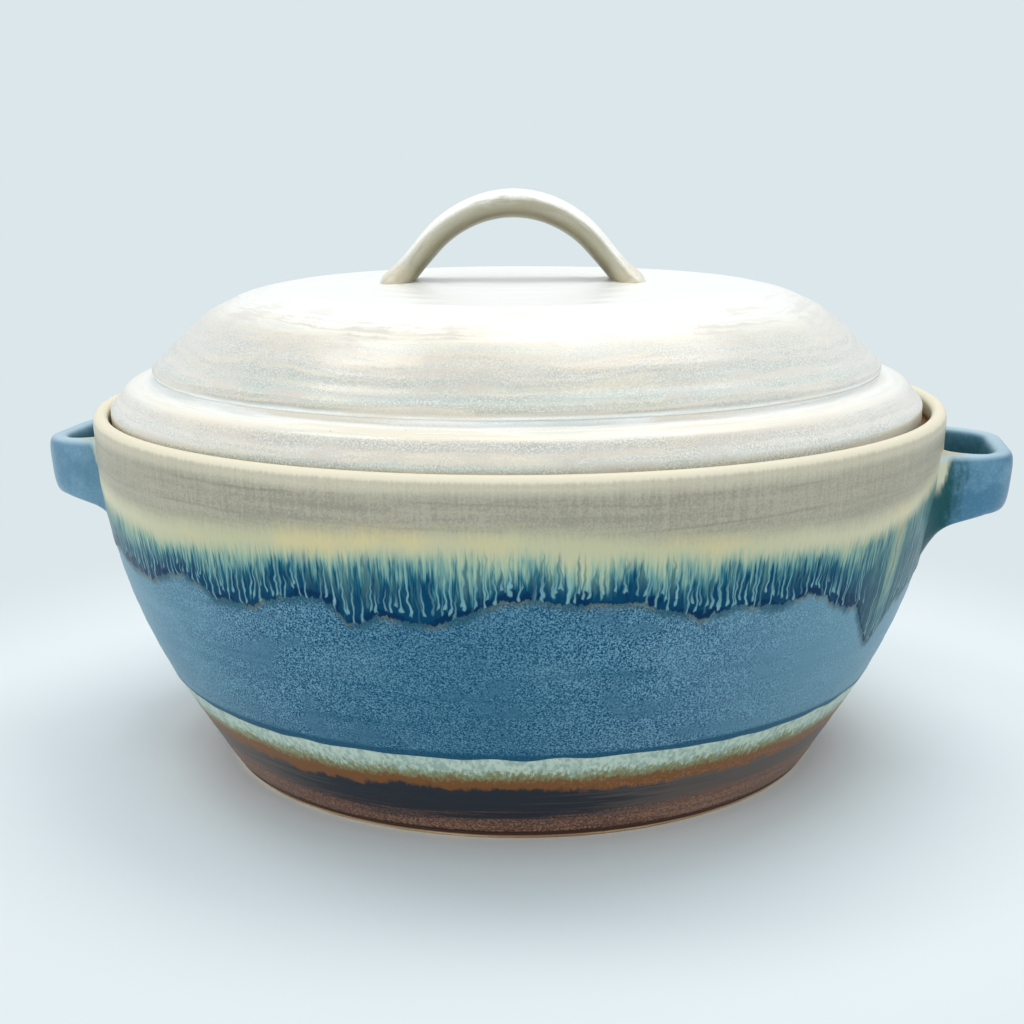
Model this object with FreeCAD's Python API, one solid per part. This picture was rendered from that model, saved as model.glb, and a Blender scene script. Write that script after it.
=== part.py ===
import FreeCAD, Part
import math
import os

from FreeCAD import Vector

os.makedirs("parts", exist_ok=True)

# Wheel-thrown stoneware casserole with a lift-off domed lid.
# Millimetres, +Z up. The foot stands on Z = 0 and the side handles lie along X.
# Every glazed outline below is the outside of the glaze; the clay lies under it.

# Glaze
GLAZE = 0.6                    # thickness of every coat
BARE_FOOT = 2.2                # clay left bare above the table
BAND_FOOT_TOP = 34.5           # dark foot glaze ends, blue belly glaze begins
RUN_LINE_BELOW_RIM = 37.0      # highest point of the cream glaze's lower edge

# Pot wall
RIM_RADIUS = 150.0
RIM_HEIGHT = 125.0
RIM_THICKNESS = 5.1
BOW_RADIUS = 185.0             # bow of the side in elevation
BOW_BELOW_RIM = 2.5            # where the side stands upright
FLARE = math.radians(31.0)     # lean of the side near the foot, from upright
WALL = 7.0                     # side wall with both its coats

# Foot and floor
FOOT_RING_WIDTH = 13.0
FOOT_RECESS = 3.0
FOOT_BEVEL = 1.2
FLOOR = 9.0                    # floor with its liner coat
FLOOR_FILLET = 26.0

# Gallery that carries the lid
LEDGE_BELOW_RIM = 9.0
LEDGE_WIDTH = 9.0
LEDGE_NOSE = 5.5               # height of the ledge's upright inner face
LEDGE_HAUNCH = 16.0            # from the ledge's top down to where its underside meets the wall
LEDGE_ROUND = 1.2
LINER_BELOW_LEDGE = 2.0        # bare clay at the top of the nose
LIP_WRAP = 4.0                 # cream glaze carried down inside the lip

# Lid
LID_PLAY = 1.9                 # radial clearance in the gallery
LID_ASIDE = -1.0               # where the lid lies within that clearance, along X
LID_BACK = -0.1                # and along Y
LID_TURN = 7.3                 # degrees that the lid stands turned on its seat
LID_WALL = 6.0
LID_HEIGHT = 51.0              # seat to crown
CROWN_FALL = 1.45              # drop of the nearly flat crown from its middle to the shoulder
SHOULDER_BOW = 56.0
SHOULDER_SLOPE = math.radians(45.0)
SHOULDER_WIDTH = 48.9          # end of the crown to the dome's edge, in plan
DOME_EDGE_ROUND = 1.6
STEP_IN = 2.6                  # dome edge to the neck below it, in plan
STEP_DOWN = 1.9
FLANGE_WIDTH = 7.6             # dome edge to the flange's bend, in plan
FLANGE_DROP = 2.6              # neck to that bend
BRIM_WIDTH = 5.8               # bend to the flange's edge, in plan
BRIM_HEIGHT = 10.2             # seat to where the flange turns down into the gallery
FLANGE_ROUND = 5.0
BRIM_ROUND = 2.5
BARE_SEAT = 3.0                # bare clay above the lid's seat

# Lid handle: a pulled strap bent to an arch
ARCH_RISE = 31.5               # top of the arch above the crown
ARCH_THICKNESS = 10.2
ARCH_BOW = 38.0                # radius of the arch's middle line
ARCH_LEG = math.radians(50.0)  # slope of its straight legs
ARCH_WIDTH = 22.0
ARCH_EDGE_ROUND = 3.8
ARCH_OFFSET = -1.0             # centre of the arch from the lid's axis

# Side handles: pulled straps bent to a square U in plan
STRAP_OUT = 22.7               # outer face from the rim
STRAP_THICKNESS = 8.4
STRAP_SPACING = 55.0           # middle line to middle line of the two legs
STRAP_CORNER = 16.5            # bend of the middle line
STRAP_EDGE_ROUND = 3.4
STRAP_BELOW_RIM = 14.2         # top edge at the outer face
STRAP_HEIGHT = 21.0            # of the outer face
STRAP_TOP_CLIMB = 1.0          # rise of the top edge towards the wall
STRAP_UNDER_FALL = 3.4         # fall of the lower edge towards the wall
STRAP_LEAN = 0.1               # the outer face leans outward going up
STRAP_FLARE = math.radians(36.3)        # legs widen on their outer sides into the wall
STRAP_FLARE_INNER = math.radians(20.1)  # and on their inner sides
STRAP_FLARE_UNDER = math.radians(38.2)  # and underneath
STRAP_FLARE_BOW = 9.0
STRAP_KNEE = 1.0               # the flare begins this far out from the wall

# Runs of the cream glaze below its highest point: azimuth in degrees, drop, width.
# The near side is as the pot shows it, and the far side is a like set.
GLAZE_RUNS = [
    (-137, 9, 30), (-122, 8, 16), (-115, 8, 18), (-103, 10, 22), (-93, 8, 26),
    (-62, 9, 22), (-50, 6, 26), (-39, 13, 26), (-30, 31, 11), (-14, 17, 24),
    (4, 14, 30), (22, 9, 26), (38, 7, 24), (52, 11, 18), (67, 6, 30),
    (84, 9, 20), (97, 12, 16), (113, 7, 28), (131, 10, 20), (146, 7, 26),
    (163, 9, 26), (181, 15, 30), (199, 12, 28),
]
RUN_BAND = 4.0                 # the edge between runs lies this far below that point

TURN = 360.0
TOUCH = 1e-3                   # points nearer than this are one
UPRIGHT = 0.3                  # a face whose normal rises less than this stands upright
LEVEL = 0.5                    # and one whose normal rises more than this lies level

# Heights and radii that follow from the sizes above
BOW_HEIGHT = RIM_HEIGHT - BOW_BELOW_RIM
LEDGE_HEIGHT = RIM_HEIGHT - LEDGE_BELOW_RIM
RUN_LINE = RIM_HEIGHT - RUN_LINE_BELOW_RIM
CROWN_HEIGHT = LEDGE_HEIGHT + LID_HEIGHT
ARCH_HEIGHT = CROWN_HEIGHT + ARCH_RISE
STRAP_REACH = RIM_RADIUS + STRAP_OUT
STRAP_TOP = RIM_HEIGHT - STRAP_BELOW_RIM
STRAP_BOTTOM = STRAP_TOP - STRAP_HEIGHT
STRAP_TOP_ROOT = STRAP_TOP + STRAP_TOP_CLIMB
STRAP_BOTTOM_ROOT = STRAP_BOTTOM - STRAP_UNDER_FALL


def at(radius, height):
    """Point of an outline, in the plane of X and Z."""
    return Vector(radius, 0, height)


def line(start, end):
    return Part.LineSegment(start, end).toShape()


def arc(start, middle, end):
    return Part.Arc(start, middle, end).toShape()


def path(corners):
    """Edges through corners (point, round); the first and the last are plain ends."""
    points = [corner[0] for corner in corners]
    reaches = bend_reaches(points, [corner[1] for corner in corners])
    edges = []
    here = points[0]
    for index in range(1, len(points) - 1):
        corner, reach = points[index], reaches[index]
        back = (points[index - 1] - corner).normalize()
        onward = (points[index + 1] - corner).normalize()
        first, last = corner + back * reach, corner + onward * reach
        join(edges, here, first)
        if reach > 0:
            half = back.getAngle(onward) / 2
            sagitta = reach * (1 / math.cos(half) - math.tan(half))
            edges.append(arc(first, corner + (back + onward).normalize() * sagitta, last))
        here = last
    join(edges, here, points[-1])
    return edges


def join(edges, start, end):
    """Add a straight edge, unless the two points are one."""
    if (end - start).Length > TOUCH:
        edges.append(line(start, end))


def bend_reaches(points, radii):
    """How far each corner's rounding runs along its two sides, limited where they are short."""
    reaches = [0.0] * len(points)
    for index in range(1, len(points) - 1):
        back, onward = points[index - 1] - points[index], points[index + 1] - points[index]
        reaches[index] = radii[index] / math.tan(back.getAngle(onward) / 2)
    shares = [1.0] * len(points)
    for index in range(len(points) - 1):
        length = (points[index + 1] - points[index]).Length
        wanted = reaches[index] + reaches[index + 1]
        if wanted > length:
            shares[index] = min(shares[index], length / wanted)
            shares[index + 1] = min(shares[index + 1], length / wanted)
    return [reach * share for reach, share in zip(reaches, shares)]


def outline_face(edges):
    """Face inside a closed run of edges."""
    return Part.Face(Part.Wire(Part.__sortEdges__(edges)))


def thrown(edges):
    """Solid of revolution about the pot's axis."""
    return outline_face(edges).revolve(Vector(0, 0, 0), Vector(0, 0, 1), TURN)


def wall_centre():
    return at(RIM_RADIUS - BOW_RADIUS, BOW_HEIGHT)


def wall_touch(depth):
    """Height at which the bow runs into the straight flare, depth under the outside."""
    return BOW_HEIGHT - (BOW_RADIUS - depth) * math.sin(FLARE)


def wall_point(depth, height):
    """Point of the side wall, depth under its glazed outside, at a height."""
    radius = BOW_RADIUS - depth
    centre = wall_centre()
    touch = wall_touch(depth)
    if height >= touch:
        return at(centre.x + math.sqrt(radius**2 - (height - centre.z)**2), height)
    return at(centre.x + radius * math.cos(FLARE) - (touch - height) * math.tan(FLARE), height)


def wall_run(depth, low, high):
    """Edges of the side wall between two heights, going up."""
    edges = []
    bend = min(max(low, wall_touch(depth)), high)
    if bend > low:
        edges.append(line(wall_point(depth, low), wall_point(depth, bend)))
    if high > bend:
        edges.append(arc(wall_point(depth, bend), wall_point(depth, (bend + high) / 2),
                         wall_point(depth, high)))
    return edges


# Lip: the rim is rounded over from the outside to the gallery.
LIP_FOOT = RIM_HEIGHT - RIM_THICKNESS / 2
GALLERY_RADIUS = wall_point(0, LIP_FOOT).x - RIM_THICKNESS
LEDGE_RADIUS = GALLERY_RADIUS - LEDGE_WIDTH


def lip_run(depth):
    """Edges over the lip, from the outside to the gallery."""
    outer = wall_point(depth, LIP_FOOT)
    inner = at(GALLERY_RADIUS + depth, LIP_FOOT)
    crest = at(GALLERY_RADIUS + RIM_THICKNESS / 2, RIM_HEIGHT - depth)
    return [arc(outer, crest, inner)]


def inside_run(depth, top):
    """Edges of the pot's inside from under the ledge's top down to the middle of the floor."""
    under = WALL - depth
    floor = FOOT_RECESS + FLOOR - depth
    nose = LEDGE_RADIUS + depth
    haunch = wall_point(under, LEDGE_HEIGHT - LEDGE_HAUNCH)
    upper = path([(at(nose, top), 0), (at(nose, LEDGE_HEIGHT - LEDGE_NOSE), LEDGE_ROUND),
                  (haunch, 0)])
    touch = wall_touch(under)
    side = arc(haunch, wall_point(under, (haunch.z + touch) / 2), wall_point(under, touch))
    lower = path([(wall_point(under, touch), 0),
                  (wall_point(under, floor), FLOOR_FILLET + depth),
                  (at(0, floor), 0)])
    return upper + [side] + lower


def pot_clay():
    """Bowl with its foot ring, floor, bowed wall and the gallery for the lid."""
    foot_outer = wall_point(GLAZE, 0)
    foot_inner = foot_outer.x - FOOT_RING_WIDTH
    bevel_end = wall_point(GLAZE, BARE_FOOT)
    foot = path([(at(0, FOOT_RECESS), 0), (at(foot_inner - FOOT_RECESS, FOOT_RECESS), FOOT_RECESS),
                 (at(foot_inner, 0), FOOT_BEVEL), (foot_outer, FOOT_BEVEL), (bevel_end, 0)])
    gallery = path([(at(GALLERY_RADIUS + GLAZE, LIP_FOOT), 0),
                    (at(GALLERY_RADIUS + GLAZE, LEDGE_HEIGHT), LEDGE_ROUND),
                    (at(LEDGE_RADIUS + GLAZE, LEDGE_HEIGHT), LEDGE_ROUND),
                    (at(LEDGE_RADIUS + GLAZE, LEDGE_HEIGHT - LINER_BELOW_LEDGE), 0)])
    inside = inside_run(GLAZE, LEDGE_HEIGHT - LINER_BELOW_LEDGE)
    axis = [line(at(0, FOOT_RECESS + FLOOR - GLAZE), at(0, FOOT_RECESS))]
    outside = wall_run(GLAZE, BARE_FOOT, LIP_FOOT) + lip_run(GLAZE)
    return thrown(foot + outside + gallery + inside + axis)


def wall_coat(low, high):
    """Glaze on the outside of the wall, between two heights."""
    ends = [line(wall_point(0, height), wall_point(GLAZE, height)) for height in (low, high)]
    return thrown(wall_run(0, low, high) + wall_run(GLAZE, low, high) + ends)


def rim_coat(low):
    """Glaze on the outside of the wall from a height up, over the lip and into the gallery."""
    end = LIP_FOOT - LIP_WRAP
    edges = wall_run(0, low, LIP_FOOT) + lip_run(0) + wall_run(GLAZE, low, LIP_FOOT) + lip_run(GLAZE)
    edges.append(line(wall_point(0, low), wall_point(GLAZE, low)))
    edges.append(line(at(GALLERY_RADIUS, LIP_FOOT), at(GALLERY_RADIUS, end)))
    edges.append(line(at(GALLERY_RADIUS, end), at(GALLERY_RADIUS + GLAZE, end)))
    edges.append(line(at(GALLERY_RADIUS + GLAZE, end), at(GALLERY_RADIUS + GLAZE, LIP_FOOT)))
    return thrown(edges)


def liner_coat():
    """Glaze on the pot's inside, up to the ledge's nose."""
    top = LEDGE_HEIGHT - LINER_BELOW_LEDGE
    floor = FOOT_RECESS + FLOOR
    ends = [line(at(LEDGE_RADIUS, top), at(LEDGE_RADIUS + GLAZE, top)),
            line(at(0, floor), at(0, floor - GLAZE))]
    return thrown(inside_run(0, top) + inside_run(GLAZE, top) + ends)


def run_tool():
    """Ring of space above the cream glaze's lower edge, with a round-ended tongue for each run."""
    inner = wall_point(WALL, BAND_FOOT_TOP).x
    outer = RIM_RADIUS + WALL
    edge = RUN_LINE - RUN_BAND
    bore = Part.makeCylinder(inner, RIM_HEIGHT, at(0, edge))
    ring = Part.makeCylinder(outer, RIM_HEIGHT, at(0, edge)).cut(bore)
    tongues = []
    for azimuth, drop, width in GLAZE_RUNS:
        tip_height = RUN_LINE - drop + width / 2
        tongue = Part.makeCylinder(width / 2, outer - inner, at(inner, tip_height), Vector(1, 0, 0))
        if tip_height < edge:
            stem_corner = Vector(inner, -width / 2, tip_height)
            stem = Part.makeBox(outer - inner, width, edge - tip_height + RUN_BAND, stem_corner)
            tongue = tongue.fuse(stem)
        tongue.rotate(Vector(0, 0, 0), Vector(0, 0, 1), azimuth)
        tongues.append(tongue)
    return ring.fuse(tongues)


def strap_plan():
    """Square U of a side handle, seen from above, opening towards the pot."""
    half = STRAP_SPACING / 2
    outer, inner = half + STRAP_THICKNESS / 2, half - STRAP_THICKNESS / 2
    reach_in = STRAP_REACH - STRAP_THICKNESS
    corner_out = STRAP_CORNER + STRAP_THICKNESS / 2
    corner_in = STRAP_CORNER - STRAP_THICKNESS / 2
    root = math.sqrt(RIM_RADIUS**2 - half**2)
    knee = root + STRAP_KNEE
    buried = root - 2 * WALL
    wide = outer + (knee - buried) * math.tan(STRAP_FLARE)
    narrow = inner - (knee - buried) * math.tan(STRAP_FLARE_INNER)
    points = [(Vector(buried, wide), 0), (Vector(knee, outer), STRAP_FLARE_BOW),
              (Vector(STRAP_REACH, outer), corner_out), (Vector(STRAP_REACH, -outer), corner_out),
              (Vector(knee, -outer), STRAP_FLARE_BOW), (Vector(buried, -wide), 0)]
    back = [(Vector(buried, -narrow), 0), (Vector(knee, -inner), STRAP_FLARE_BOW),
            (Vector(reach_in, -inner), corner_in), (Vector(reach_in, inner), corner_in),
            (Vector(knee, inner), STRAP_FLARE_BOW), (Vector(buried, narrow), 0)]
    ends = [line(points[0][0], back[-1][0]), line(points[-1][0], back[0][0])]
    return outline_face(path(points) + path(back) + ends)


def strap_foot():
    """Height at which the flare under a strap would end, well inside the pot."""
    return STRAP_BOTTOM_ROOT - 4 * WALL * math.tan(STRAP_FLARE_UNDER)


def strap_side():
    """Side elevation that the strap is trimmed to: higher at the wall than at the outer face."""
    root = RIM_RADIUS
    buried = root - 4 * WALL
    past = STRAP_REACH + STRAP_THICKNESS
    rise = STRAP_UNDER_FALL / STRAP_OUT * STRAP_THICKNESS
    fall = STRAP_TOP_CLIMB / STRAP_OUT * STRAP_THICKNESS
    corners = [(at(buried, STRAP_TOP_ROOT), 0), (at(root, STRAP_TOP_ROOT), 0),
               (at(past, STRAP_TOP - fall), 0), (at(past, STRAP_BOTTOM + rise), 0),
               (at(root, STRAP_BOTTOM_ROOT), STRAP_FLARE_BOW), (at(buried, strap_foot()), 0),
               (at(buried, STRAP_TOP_ROOT), 0)]
    side = outline_face(path(corners))
    side.translate(Vector(0, -STRAP_REACH, 0))
    return side.extrude(Vector(0, 2 * STRAP_REACH, 0))


def side_handle(clay_core):
    """Strap handle towards +X, rounded along its edges and ending on the clay wall."""
    low = strap_foot() - WALL
    tall = STRAP_TOP_ROOT + WALL - low
    middle = (STRAP_TOP + STRAP_BOTTOM) / 2
    plan = strap_plan()
    plan.translate(Vector(STRAP_LEAN * (low - middle), 0, low))
    strap = plan.extrude(Vector(STRAP_LEAN * tall, 0, tall)).common(strap_side())
    return rounded(strap, STRAP_EDGE_ROUND).cut(clay_core)


def rounded(strap, radius):
    """The strap with its upper and lower edges rounded."""
    solid = strap.Solids[0]
    edges = [edge for edge in solid.Edges if between_cap_and_side(solid, edge)]
    return solid.makeFillet(radius, edges)


def between_cap_and_side(solid, edge):
    """Whether an edge parts the strap's upper or lower face from one of its upright faces."""
    slopes = sorted(abs(face_slope(face, edge)) for face in solid.ancestorsOfType(edge, Part.Face))
    return len(slopes) == 2 and slopes[0] < UPRIGHT and slopes[1] > LEVEL


def face_slope(face, edge):
    """Upward part of a face's normal beside an edge's middle."""
    middle = edge.valueAt((edge.FirstParameter + edge.LastParameter) / 2)
    across, along = face.Surface.parameter(middle)
    return face.normalAt(across, along).z


def slope_normal(tilt):
    """Outward normal of a surface that has fallen by an angle from level."""
    return at(math.sin(tilt), math.cos(tilt))


# Lid outline: a wide crown arc runs tangent into the shoulder's bow.
FLANGE_EDGE_RADIUS = GALLERY_RADIUS - LID_PLAY
FLANGE_BEND_RADIUS = FLANGE_EDGE_RADIUS - BRIM_WIDTH
DOME_EDGE_RADIUS = FLANGE_BEND_RADIUS - FLANGE_WIDTH
CROWN_RADIUS = DOME_EDGE_RADIUS - SHOULDER_WIDTH
CROWN_BOW = (CROWN_RADIUS**2 + CROWN_FALL**2) / (2 * CROWN_FALL)
CROWN_TILT = math.asin(CROWN_RADIUS / CROWN_BOW)
CROWN_CENTRE = at(0, CROWN_HEIGHT - CROWN_BOW)
SHOULDER_CENTRE = CROWN_CENTRE + slope_normal(CROWN_TILT) * (CROWN_BOW - SHOULDER_BOW)


def dome_arc(centre, radius, start, end):
    """Arc of the dome between two slopes."""
    return arc(*[centre + slope_normal(tilt) * radius for tilt in (start, (start + end) / 2, end)])


def lid_step():
    """Corners of the lid's outside below its dome: dome edge, neck, flange bend and brim."""
    dome_end = SHOULDER_CENTRE + slope_normal(SHOULDER_SLOPE) * SHOULDER_BOW
    fall = (DOME_EDGE_RADIUS - dome_end.x) * math.tan(SHOULDER_SLOPE)
    edge = at(DOME_EDGE_RADIUS, dome_end.z - fall)
    neck = edge + at(-STEP_IN, -STEP_DOWN)
    flange = at(FLANGE_BEND_RADIUS, neck.z - FLANGE_DROP)
    brim = at(FLANGE_EDGE_RADIUS, LEDGE_HEIGHT + BRIM_HEIGHT)
    return edge, neck, flange, brim


def lid_run(depth, low):
    """Edges of the lid's outside, depth under its glaze, from the crown down to a height."""
    crown = dome_arc(CROWN_CENTRE, CROWN_BOW - depth, 0, CROWN_TILT)
    shoulder = dome_arc(SHOULDER_CENTRE, SHOULDER_BOW - depth, CROWN_TILT, SHOULDER_SLOPE)
    shoulder_end = SHOULDER_CENTRE + slope_normal(SHOULDER_SLOPE) * (SHOULDER_BOW - depth)
    edge, neck, flange, brim = lid_step()
    flange_slope = math.atan2(neck.z - flange.z, flange.x - neck.x)
    brim_slope = math.atan2(flange.z - brim.z, brim.x - flange.x)
    skirt = path([(shoulder_end, 0),
                  (edge - slope_normal(SHOULDER_SLOPE) * depth, DOME_EDGE_ROUND),
                  (neck - slope_normal(flange_slope) * depth, 0),
                  (flange - slope_normal((flange_slope + brim_slope) / 2) * depth, FLANGE_ROUND),
                  (brim - slope_normal((brim_slope + math.pi / 2) / 2) * depth, BRIM_ROUND),
                  (at(FLANGE_EDGE_RADIUS - depth, low), 0)])
    return [crown, shoulder] + skirt


def lid_inside_run(depth):
    """Edges of the lid's hollow underside, from the seat's inner edge up to the crown."""
    under = LID_WALL - depth
    shoulder_end = SHOULDER_CENTRE + slope_normal(SHOULDER_SLOPE) * (SHOULDER_BOW - under)
    seat_inner = FLANGE_EDGE_RADIUS - under
    roof = lid_step()[2].z - under
    corner = at(shoulder_end.x + (shoulder_end.z - roof) / math.tan(SHOULDER_SLOPE), roof)
    skirt = path([(at(seat_inner, LEDGE_HEIGHT + BARE_SEAT), 0), (at(seat_inner, roof), BRIM_ROUND),
                  (corner, FLANGE_ROUND), (shoulder_end, 0)])
    shoulder = dome_arc(SHOULDER_CENTRE, SHOULDER_BOW - under, SHOULDER_SLOPE, CROWN_TILT)
    crown = dome_arc(CROWN_CENTRE, CROWN_BOW - under, CROWN_TILT, 0)
    return skirt + [shoulder, crown]


def lid_clay():
    """Hollow domed lid whose flange stands on the gallery's ledge."""
    outer_end = at(FLANGE_EDGE_RADIUS - GLAZE, LEDGE_HEIGHT + BARE_SEAT)
    inner_end = at(FLANGE_EDGE_RADIUS - LID_WALL + GLAZE, LEDGE_HEIGHT + BARE_SEAT)
    seat = path([(outer_end, 0), (at(outer_end.x, LEDGE_HEIGHT), LEDGE_ROUND),
                 (at(inner_end.x, LEDGE_HEIGHT), LEDGE_ROUND), (inner_end, 0)])
    axis = [line(at(0, CROWN_HEIGHT - LID_WALL + GLAZE), at(0, CROWN_HEIGHT - GLAZE))]
    return thrown(lid_run(GLAZE, LEDGE_HEIGHT + BARE_SEAT) + seat + lid_inside_run(GLAZE) + axis)


def lid_coat():
    """Glaze on the lid's outside, down to the bare clay above its seat."""
    seat = LEDGE_HEIGHT + BARE_SEAT
    ends = [line(at(0, CROWN_HEIGHT), at(0, CROWN_HEIGHT - GLAZE)),
            line(at(FLANGE_EDGE_RADIUS, seat), at(FLANGE_EDGE_RADIUS - GLAZE, seat))]
    return thrown(lid_run(0, seat) + lid_run(GLAZE, seat) + ends)


def lid_liner():
    """Glaze on the lid's hollow underside."""
    seat = LEDGE_HEIGHT + BARE_SEAT
    inner = FLANGE_EDGE_RADIUS - LID_WALL
    ends = [line(at(0, CROWN_HEIGHT - LID_WALL), at(0, CROWN_HEIGHT - LID_WALL + GLAZE)),
            line(at(inner, seat), at(inner + GLAZE, seat))]
    return thrown(lid_inside_run(0) + lid_inside_run(GLAZE) + ends)


def arch_path(inset):
    """Corners of the arch, inset from its outer face: a wedge whose tip is bent round."""
    bow = ARCH_BOW + ARCH_THICKNESS / 2 - inset
    tip = ARCH_HEIGHT - inset + bow * (1 / math.cos(ARCH_LEG) - 1)
    buried = CROWN_HEIGHT - 2 * LID_WALL
    reach = (tip - buried) / math.tan(ARCH_LEG)
    return [(at(-reach, buried), 0), (at(0, tip), bow), (at(reach, buried), 0)]


def lid_handle(clay_core):
    """Arched strap, rounded along its edges and ending on the lid's clay."""
    outer, inner = arch_path(0), arch_path(ARCH_THICKNESS)
    ends = [line(outer[0][0], inner[0][0]), line(outer[-1][0], inner[-1][0])]
    face = outline_face(path(outer) + path(inner) + ends)
    face.translate(Vector(ARCH_OFFSET, -ARCH_WIDTH / 2, 0))
    strap = face.extrude(Vector(0, ARCH_WIDTH, 0))
    floor = strap.BoundBox.ZMin
    long_edges = [edge for edge in strap.Edges
                  if edge.BoundBox.YLength < TOUCH and edge.BoundBox.ZMax > floor + TOUCH]
    strap = strap.makeFillet(ARCH_EDGE_ROUND, long_edges)
    strap.rotate(Vector(0, 0, 0), Vector(0, 0, 1), LID_TURN)
    return strap.cut(clay_core)


def pot_core():
    """The pot filled solid to the clay's outside, which trims the side handles."""
    top = wall_point(GLAZE, LIP_FOOT)
    base = wall_point(GLAZE, BARE_FOOT)
    caps = [line(top, at(0, top.z)), line(at(0, top.z), at(0, base.z)), line(at(0, base.z), base)]
    return thrown(wall_run(GLAZE, BARE_FOOT, LIP_FOOT) + caps)


def lid_core():
    """The lid filled solid to the clay's outside, which trims its handle."""
    seat = LEDGE_HEIGHT + BARE_SEAT
    caps = [line(at(FLANGE_EDGE_RADIUS - GLAZE, seat), at(0, seat)),
            line(at(0, seat), at(0, CROWN_HEIGHT - GLAZE))]
    return thrown(lid_run(GLAZE, seat) + caps)


def build():
    """All the nodes, by name."""
    core = pot_core()
    handle_right = side_handle(core)
    handle_left = handle_right.copy()
    handle_left.rotate(Vector(0, 0, 0), Vector(0, 0, 1), TURN / 2)
    handles = [handle_right, handle_left]

    upper = rim_coat(BAND_FOOT_TOP)
    above_runs = run_tool()
    nodes = {
        "pot_body": pot_clay(),
        "handle_right": handle_right,
        "handle_left": handle_left,
        "pot_cream_glaze": upper.common(above_runs).cut(handles),
        "pot_blue_glaze": upper.cut(above_runs).cut(handles),
        "pot_foot_glaze": wall_coat(BARE_FOOT, BAND_FOOT_TOP),
        "pot_liner_glaze": liner_coat(),
    }
    arch = lid_handle(lid_core())
    lid_nodes = {
        "lid_body": lid_clay(),
        "lid_handle": arch,
        "lid_glaze": lid_coat().cut(arch),
        "lid_liner_glaze": lid_liner(),
    }
    for shape in lid_nodes.values():
        shape.translate(Vector(LID_ASIDE, LID_BACK, 0))
    nodes.update(lid_nodes)
    return nodes


for name, shape in build().items():
    box = shape.BoundBox
    print(name, "solids", len(shape.Solids), "valid", shape.isValid(), "volume", round(shape.Volume),
          "x", round(box.XMin, 2), round(box.XMax, 2), "y", round(box.YMin, 2), round(box.YMax, 2),
          "z", round(box.ZMin, 2), round(box.ZMax, 2))
    shape.exportStep("parts/" + name + ".step")
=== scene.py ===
import logging
import math
from dataclasses import dataclass
from enum import Enum
from typing import Callable, Union

import bpy
import numpy as np
from mathutils import Matrix, Vector


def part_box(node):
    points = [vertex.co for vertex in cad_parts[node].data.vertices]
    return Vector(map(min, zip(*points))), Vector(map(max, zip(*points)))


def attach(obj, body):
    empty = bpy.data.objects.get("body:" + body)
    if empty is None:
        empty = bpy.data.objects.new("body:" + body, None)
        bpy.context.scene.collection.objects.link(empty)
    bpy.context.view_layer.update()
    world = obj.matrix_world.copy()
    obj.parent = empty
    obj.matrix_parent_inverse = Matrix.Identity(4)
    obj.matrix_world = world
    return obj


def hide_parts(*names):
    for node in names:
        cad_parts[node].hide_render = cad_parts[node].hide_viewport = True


# A wheel-thrown stoneware casserole with a lift-off domed lid, glazed cream over blue.
# Shapes are worked out in millimetres, and a mesh is put down in metres.

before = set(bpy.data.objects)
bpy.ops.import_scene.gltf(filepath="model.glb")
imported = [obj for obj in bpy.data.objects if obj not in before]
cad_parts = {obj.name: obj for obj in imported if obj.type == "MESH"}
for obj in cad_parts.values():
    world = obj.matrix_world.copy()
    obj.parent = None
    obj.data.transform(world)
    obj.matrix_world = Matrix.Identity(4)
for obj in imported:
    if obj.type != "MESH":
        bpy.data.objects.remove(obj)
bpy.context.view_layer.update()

log = logging.getLogger("casserole")
MM = 0.001
TURN = 2 * math.pi

Array = np.ndarray
Colour = tuple[float, float, float, float]


def paint(red: int, green: int, blue: int) -> Colour:
    """A colour as the eye reads it, 0 to 255 a channel, made linear for the shader."""
    shares = (channel / 255 for channel in (red, green, blue))
    linear = [s / 12.92 if s <= 0.04045 else ((s + 0.055) / 1.055) ** 2.4 for s in shares]
    return (linear[0], linear[1], linear[2], 1.0)


def smooth(low: float, high: float, value: Array) -> Array:
    """Smooth step: 0 below low, 1 above high, and 3t^2 - 2t^3 of the share t between them."""
    share = np.clip((value - low) / (high - low), 0.0, 1.0)
    return share * share * (3 - 2 * share)


def ripple(angle: Array, waves: tuple[int, int], count: int, seed: int) -> Array:
    """Seeded unevenness round the pot: a sum of cosines with whole numbers of waves.

    Args:
        angle: Angle round the axis, in radians.
        waves: Fewest and most waves round the pot.
        count: How many cosines are added.
        seed: Seed of the random draws.

    Returns:
        Values of about unit spread, the same after a whole turn.
    """
    draw = np.random.default_rng(seed)
    number = draw.integers(waves[0], waves[1] + 1, count)
    phase = draw.uniform(0, TURN, count)
    parts = np.cos(np.multiply.outer(angle, number) + phase)
    return parts.sum(axis=-1) * math.sqrt(2 / count)


# Meshes

class Ends(Enum):
    """How an outline that is turned about the axis ends."""

    JOINED = "its last row runs back into its first"
    POLES = "its first and last rows each close in one point"


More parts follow.
